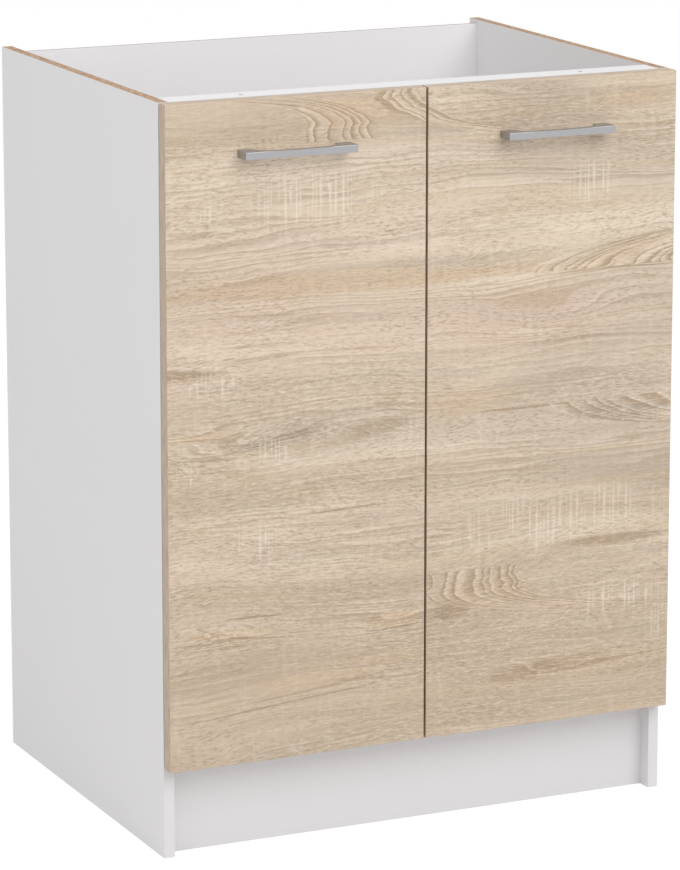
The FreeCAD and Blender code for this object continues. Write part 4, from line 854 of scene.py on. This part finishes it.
# the saw's marks in their patches, and faint dashes all over
wander = centred(grain_field(0.0, *SAW_WANDER_WAVES), UPRIGHT_WANDER)
uprights = times(comb(plus(times(print_along, SAW_MARKS_PER_DM), wander), UPRIGHT_WIDTH_SHARE),
                 oak_ramp(fields["jumps"], *UPRIGHT_BREAKS))
level_steps = plus(times(fibres, SAW_MARKS_PER_DM), times(fields["jumps"], LEVEL_WANDER))
levels = times(comb(level_steps, LEVEL_WIDTH_SHARE), LEVEL_SHARE)
ragged_plane = print_plane(plus(print_up, centred(fields["jumps"], SAW_EDGE_JUMPS)))
sawn = 0.0
for patch in OAK_SAWING:
    sawn = larger(sawn, hill(ragged_plane, *patch, OAK_PATCH_FLAT_SHARE))
sawn = times(sawn, larger(uprights, levels))
colour = tinted(colour, times(sawn, SAWN_SHARE), OAK_SAWN)
colour = tinted(colour, times(oak_ramp(fields["jumps"], *OAK_DASHES), OAK_DASH_SHARE), OAK_SAWN)

# the pores, dark, dull and sunk into the surface
pored = oak_ramp(fields["pore_places"], *OAK_PORE_PLACES)
pore_depth = times(oak_ramp(fields["pores"], *OAK_PORES), pored)
colour = tinted(colour, times(pore_depth, OAK_PORE_SHARE), OAK_PORE)
relief = minus(times(fields["threads"], OAK_THREAD_RELIEF), pore_depth)
oak_decor.links.new(colour, outlet.inputs["Color"])
oak_decor.links.new(range_over(oak_decor, pore_depth, *OAK_ROUGH), outlet.inputs["Roughness"])
oak_decor.links.new(relief, outlet.inputs["Height"])

dress(board_material("oak_door", "door_left", Y, oak_decor, {}), "oak_decor", "door_left", "door_right")

# The doors' edge bands: thin strip printed to match, glued with hot melt round all four edges. Its grain
# runs along each edge, and where it looks forwards or back it carries on the print of the door.
OAK_BAND_DARK = (168, 147, 124)
OAK_BAND_LIGHT = (203, 184, 162)
BAND_TONES = (0.35, 0.65)
# waves to the metre on each axis: few along the edge and many across it
LEVEL_EDGE_GRAIN = (40.0, 900.0, 900.0)
UPRIGHT_EDGE_GRAIN = (900.0, 900.0, 40.0)
# how squarely a face looks along an axis to count as facing that way
FACING_SHARE = 0.7
oak_band, tree, outlet = blank_material("oak_edge_band")
outlook = add_node(tree, "ShaderNodeTexCoord").outputs
facing = add_node(tree, "ShaderNodeSeparateXYZ", {0: outlook["Normal"]}).outputs
level_edge = calc(tree, "GREATER_THAN", calc(tree, "ABSOLUTE", facing[Z]), FACING_SHARE)
face_on = calc(tree, "GREATER_THAN", calc(tree, "ABSOLUTE", facing[Y]), FACING_SHARE)
level_grain, upright_grain = [
    cloud(tree, stretched(tree, outlook["Object"], waves), detail=3.0, roughness=0.6)
    for waves in (LEVEL_EDGE_GRAIN, UPRIGHT_EDGE_GRAIN)]
streaks = blend(tree, level_edge, upright_grain, level_grain, kind="FLOAT")
pale_streaks = ramp_between(tree, streaks, *BAND_TONES)
edge = blend(tree, pale_streaks, paint(*OAK_BAND_DARK), paint(*OAK_BAND_LIGHT))
print_face = place_group(tree, oak_decor, {"Coordinates": outlook["Object"]})
give_surface(tree, outlet, {
    "Base Color": blend(tree, face_on, edge, print_face.outputs["Color"]), "Roughness": 0.5,
    "Normal": bumped(tree, streaks, strength=0.15, distance=0.0001)})
dress(oak_band, "oak_band", "door_bands_left", "door_bands_right")

# The door bumpers: clear domed dots of soft plastic with a sticky back, pressed on by hand inside the
# free corners of each door, where they cushion its closing.
BUMPER_DULL = (206, 208, 208)
BUMPER_CLEAR = (232, 233, 232)
BUMPER_CLOUDS_PER_METRE = 700.0
BUMPER_DOME_SHARES = [(0.0, 0.0), (0.30, 0.03), (0.58, 0.14), (0.80, 0.34), (0.94, 0.62), (1.0, 1.0),
                      (0.0, 1.0)]
bumper_material, tree, outlet = blank_material("soft_bumper")
haze = cloud(tree, piece_coordinates(tree), BUMPER_CLOUDS_PER_METRE)
give_surface(tree, outlet, {
    "Base Color": blend(tree, haze, paint(*BUMPER_DULL), paint(*BUMPER_CLEAR)), "Roughness": 0.25,
    "Subsurface Weight": 0.3})
for side in ("left", "right"):
    bumper_round, bumper_thick = round_and_length("door_bumpers_" + side, Y)
    dome = turned_shape([(share * bumper_round, -down * bumper_thick)
                         for share, down in BUMPER_DOME_SHARES])
    repeat_shape("clear_bumpers_" + side, dome, "door_bumpers_" + side, Y, "door_" + side,
                 bumper_material)

# The bow handles: cast zinc in a satin silver-grey coat, each a waisted bar on two feet that sweep into
# it in an arch, screwed on from inside the doors.
satin = metal_material("satin_silver", (176, 176, 178), rough=0.38, unevenness=0.05, grain=0.0006,
                       marks=(0.06, 1.0, 1.0))
dress(satin, "satin_metal", "handle_left", "handle_right")

# The handle screws: machine screws of bright steel with a pan head and a cross recess, put in from
# inside the doors and turned into the feet of the handles.
PAN_HEAD_SHARES = [(0.0, 0.0), (0.66, 0.0), (0.86, 0.12), (0.97, 0.38), (1.0, 0.70), (1.0, 1.0)]
CROSS_ARM_SHARE = 0.52
CROSS_HALF_SHARE = 0.13
CROSS_DEPTH_SHARE = 0.62
CROSS_TAPER_SHARE = 0.55
CUT_SNAP = WELD / 10
HANDLE_SCREW_ROUND = 0.002
HANDLE_SCREW_HEAD = 0.0024


def cross_screw(head_round, head_thick, shank_round, length):
    """A screw with a pan head, its top in the plane z = 0, and a tapered cross sunk into it."""
    shape = turned_shape(headed_outline(PAN_HEAD_SHARES, head_round, head_thick, shank_round, length))
    for axis in (X, Y):
        for share in (CROSS_ARM_SHARE, CROSS_HALF_SHARE, -CROSS_HALF_SHARE, -CROSS_ARM_SHARE):
            square = Vector((0.0, 0.0, 0.0))
            square[axis] = 1.0
            crown = [face for face in shape.faces if face.calc_center_median().z > -WELD]
            cut_parts = list(dict.fromkeys(
                part for face in crown for part in (*face.verts, *face.edges, face)))
            bmesh.ops.bisect_plane(shape, geom=cut_parts, dist=CUT_SNAP, plane_no=square,
                                   plane_co=square * share * head_round)
    cross = []
    for face in shape.faces:
        middle = face.calc_center_median()
        near, far = sorted((abs(middle.x), abs(middle.y)))
        in_cross = near < CROSS_HALF_SHARE * head_round and far < CROSS_ARM_SHARE * head_round
        if middle.z > -WELD and in_cross:
            cross.append(face)
    sunk = bmesh.ops.extrude_face_region(shape, geom=cross)["geom"]
    bmesh.ops.delete(shape, geom=cross, context="FACES")
    recess_floor = [part for part in sunk if isinstance(part, bmesh.types.BMVert)]
    bmesh.ops.translate(shape, verts=recess_floor, vec=(0, 0, -CROSS_DEPTH_SHARE * head_thick))
    bmesh.ops.scale(shape, verts=recess_floor, vec=(CROSS_TAPER_SHARE, CROSS_TAPER_SHARE, 1.0))
    return shape


def repeat_screws(name, node, axis, head_thick, shank_round, body):
    """Cross-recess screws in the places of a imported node's solids."""
    head_round, length = round_and_length(node, axis)
    repeat_shape(name, cross_screw(head_round, head_thick, shank_round, length), node, axis, body,
                 steel)


for side in ("left", "right"):
    repeat_screws("handle_cross_screws_" + side, "handle_screws_" + side, Y, HANDLE_SCREW_HEAD,
                  HANDLE_SCREW_ROUND, "door_" + side)

# The concealed hinges: pressed and nickelled steel, four in all, each a cup in the door, two links, an
# arm and a plate on the side panel, with their pins and screws.
CUP_SCREW_ROUND = 0.00175
PLATE_SCREW_ROUND = 0.0025
WOOD_SCREW_HEAD = 0.0016
ARM_SCREW_ROUND = 0.002
ARM_SCREW_HEAD = 0.002
for side in ("left", "right"):
    for level in ("lower", "upper"):
        dress(nickel, "hinge_steel", *["%s_%s_%s" % (part, side, level) for part in (
            "hinge_cup", "outer_link", "inner_link", "hinge_arm", "hinge_plate")])
    dress(steel, "hinge_steel", "arm_pins_" + side, "cup_pins_" + side)
    repeat_screws("cup_cross_screws_" + side, "cup_screws_" + side, Y, WOOD_SCREW_HEAD, CUP_SCREW_ROUND,
                  "door_" + side)
repeat_screws("plate_cross_screws", "plate_screws", X, WOOD_SCREW_HEAD, PLATE_SCREW_ROUND, "carcass")
repeat_screws("arm_cross_screws", "arm_screws", X, ARM_SCREW_HEAD, ARM_SCREW_ROUND, "carcass")
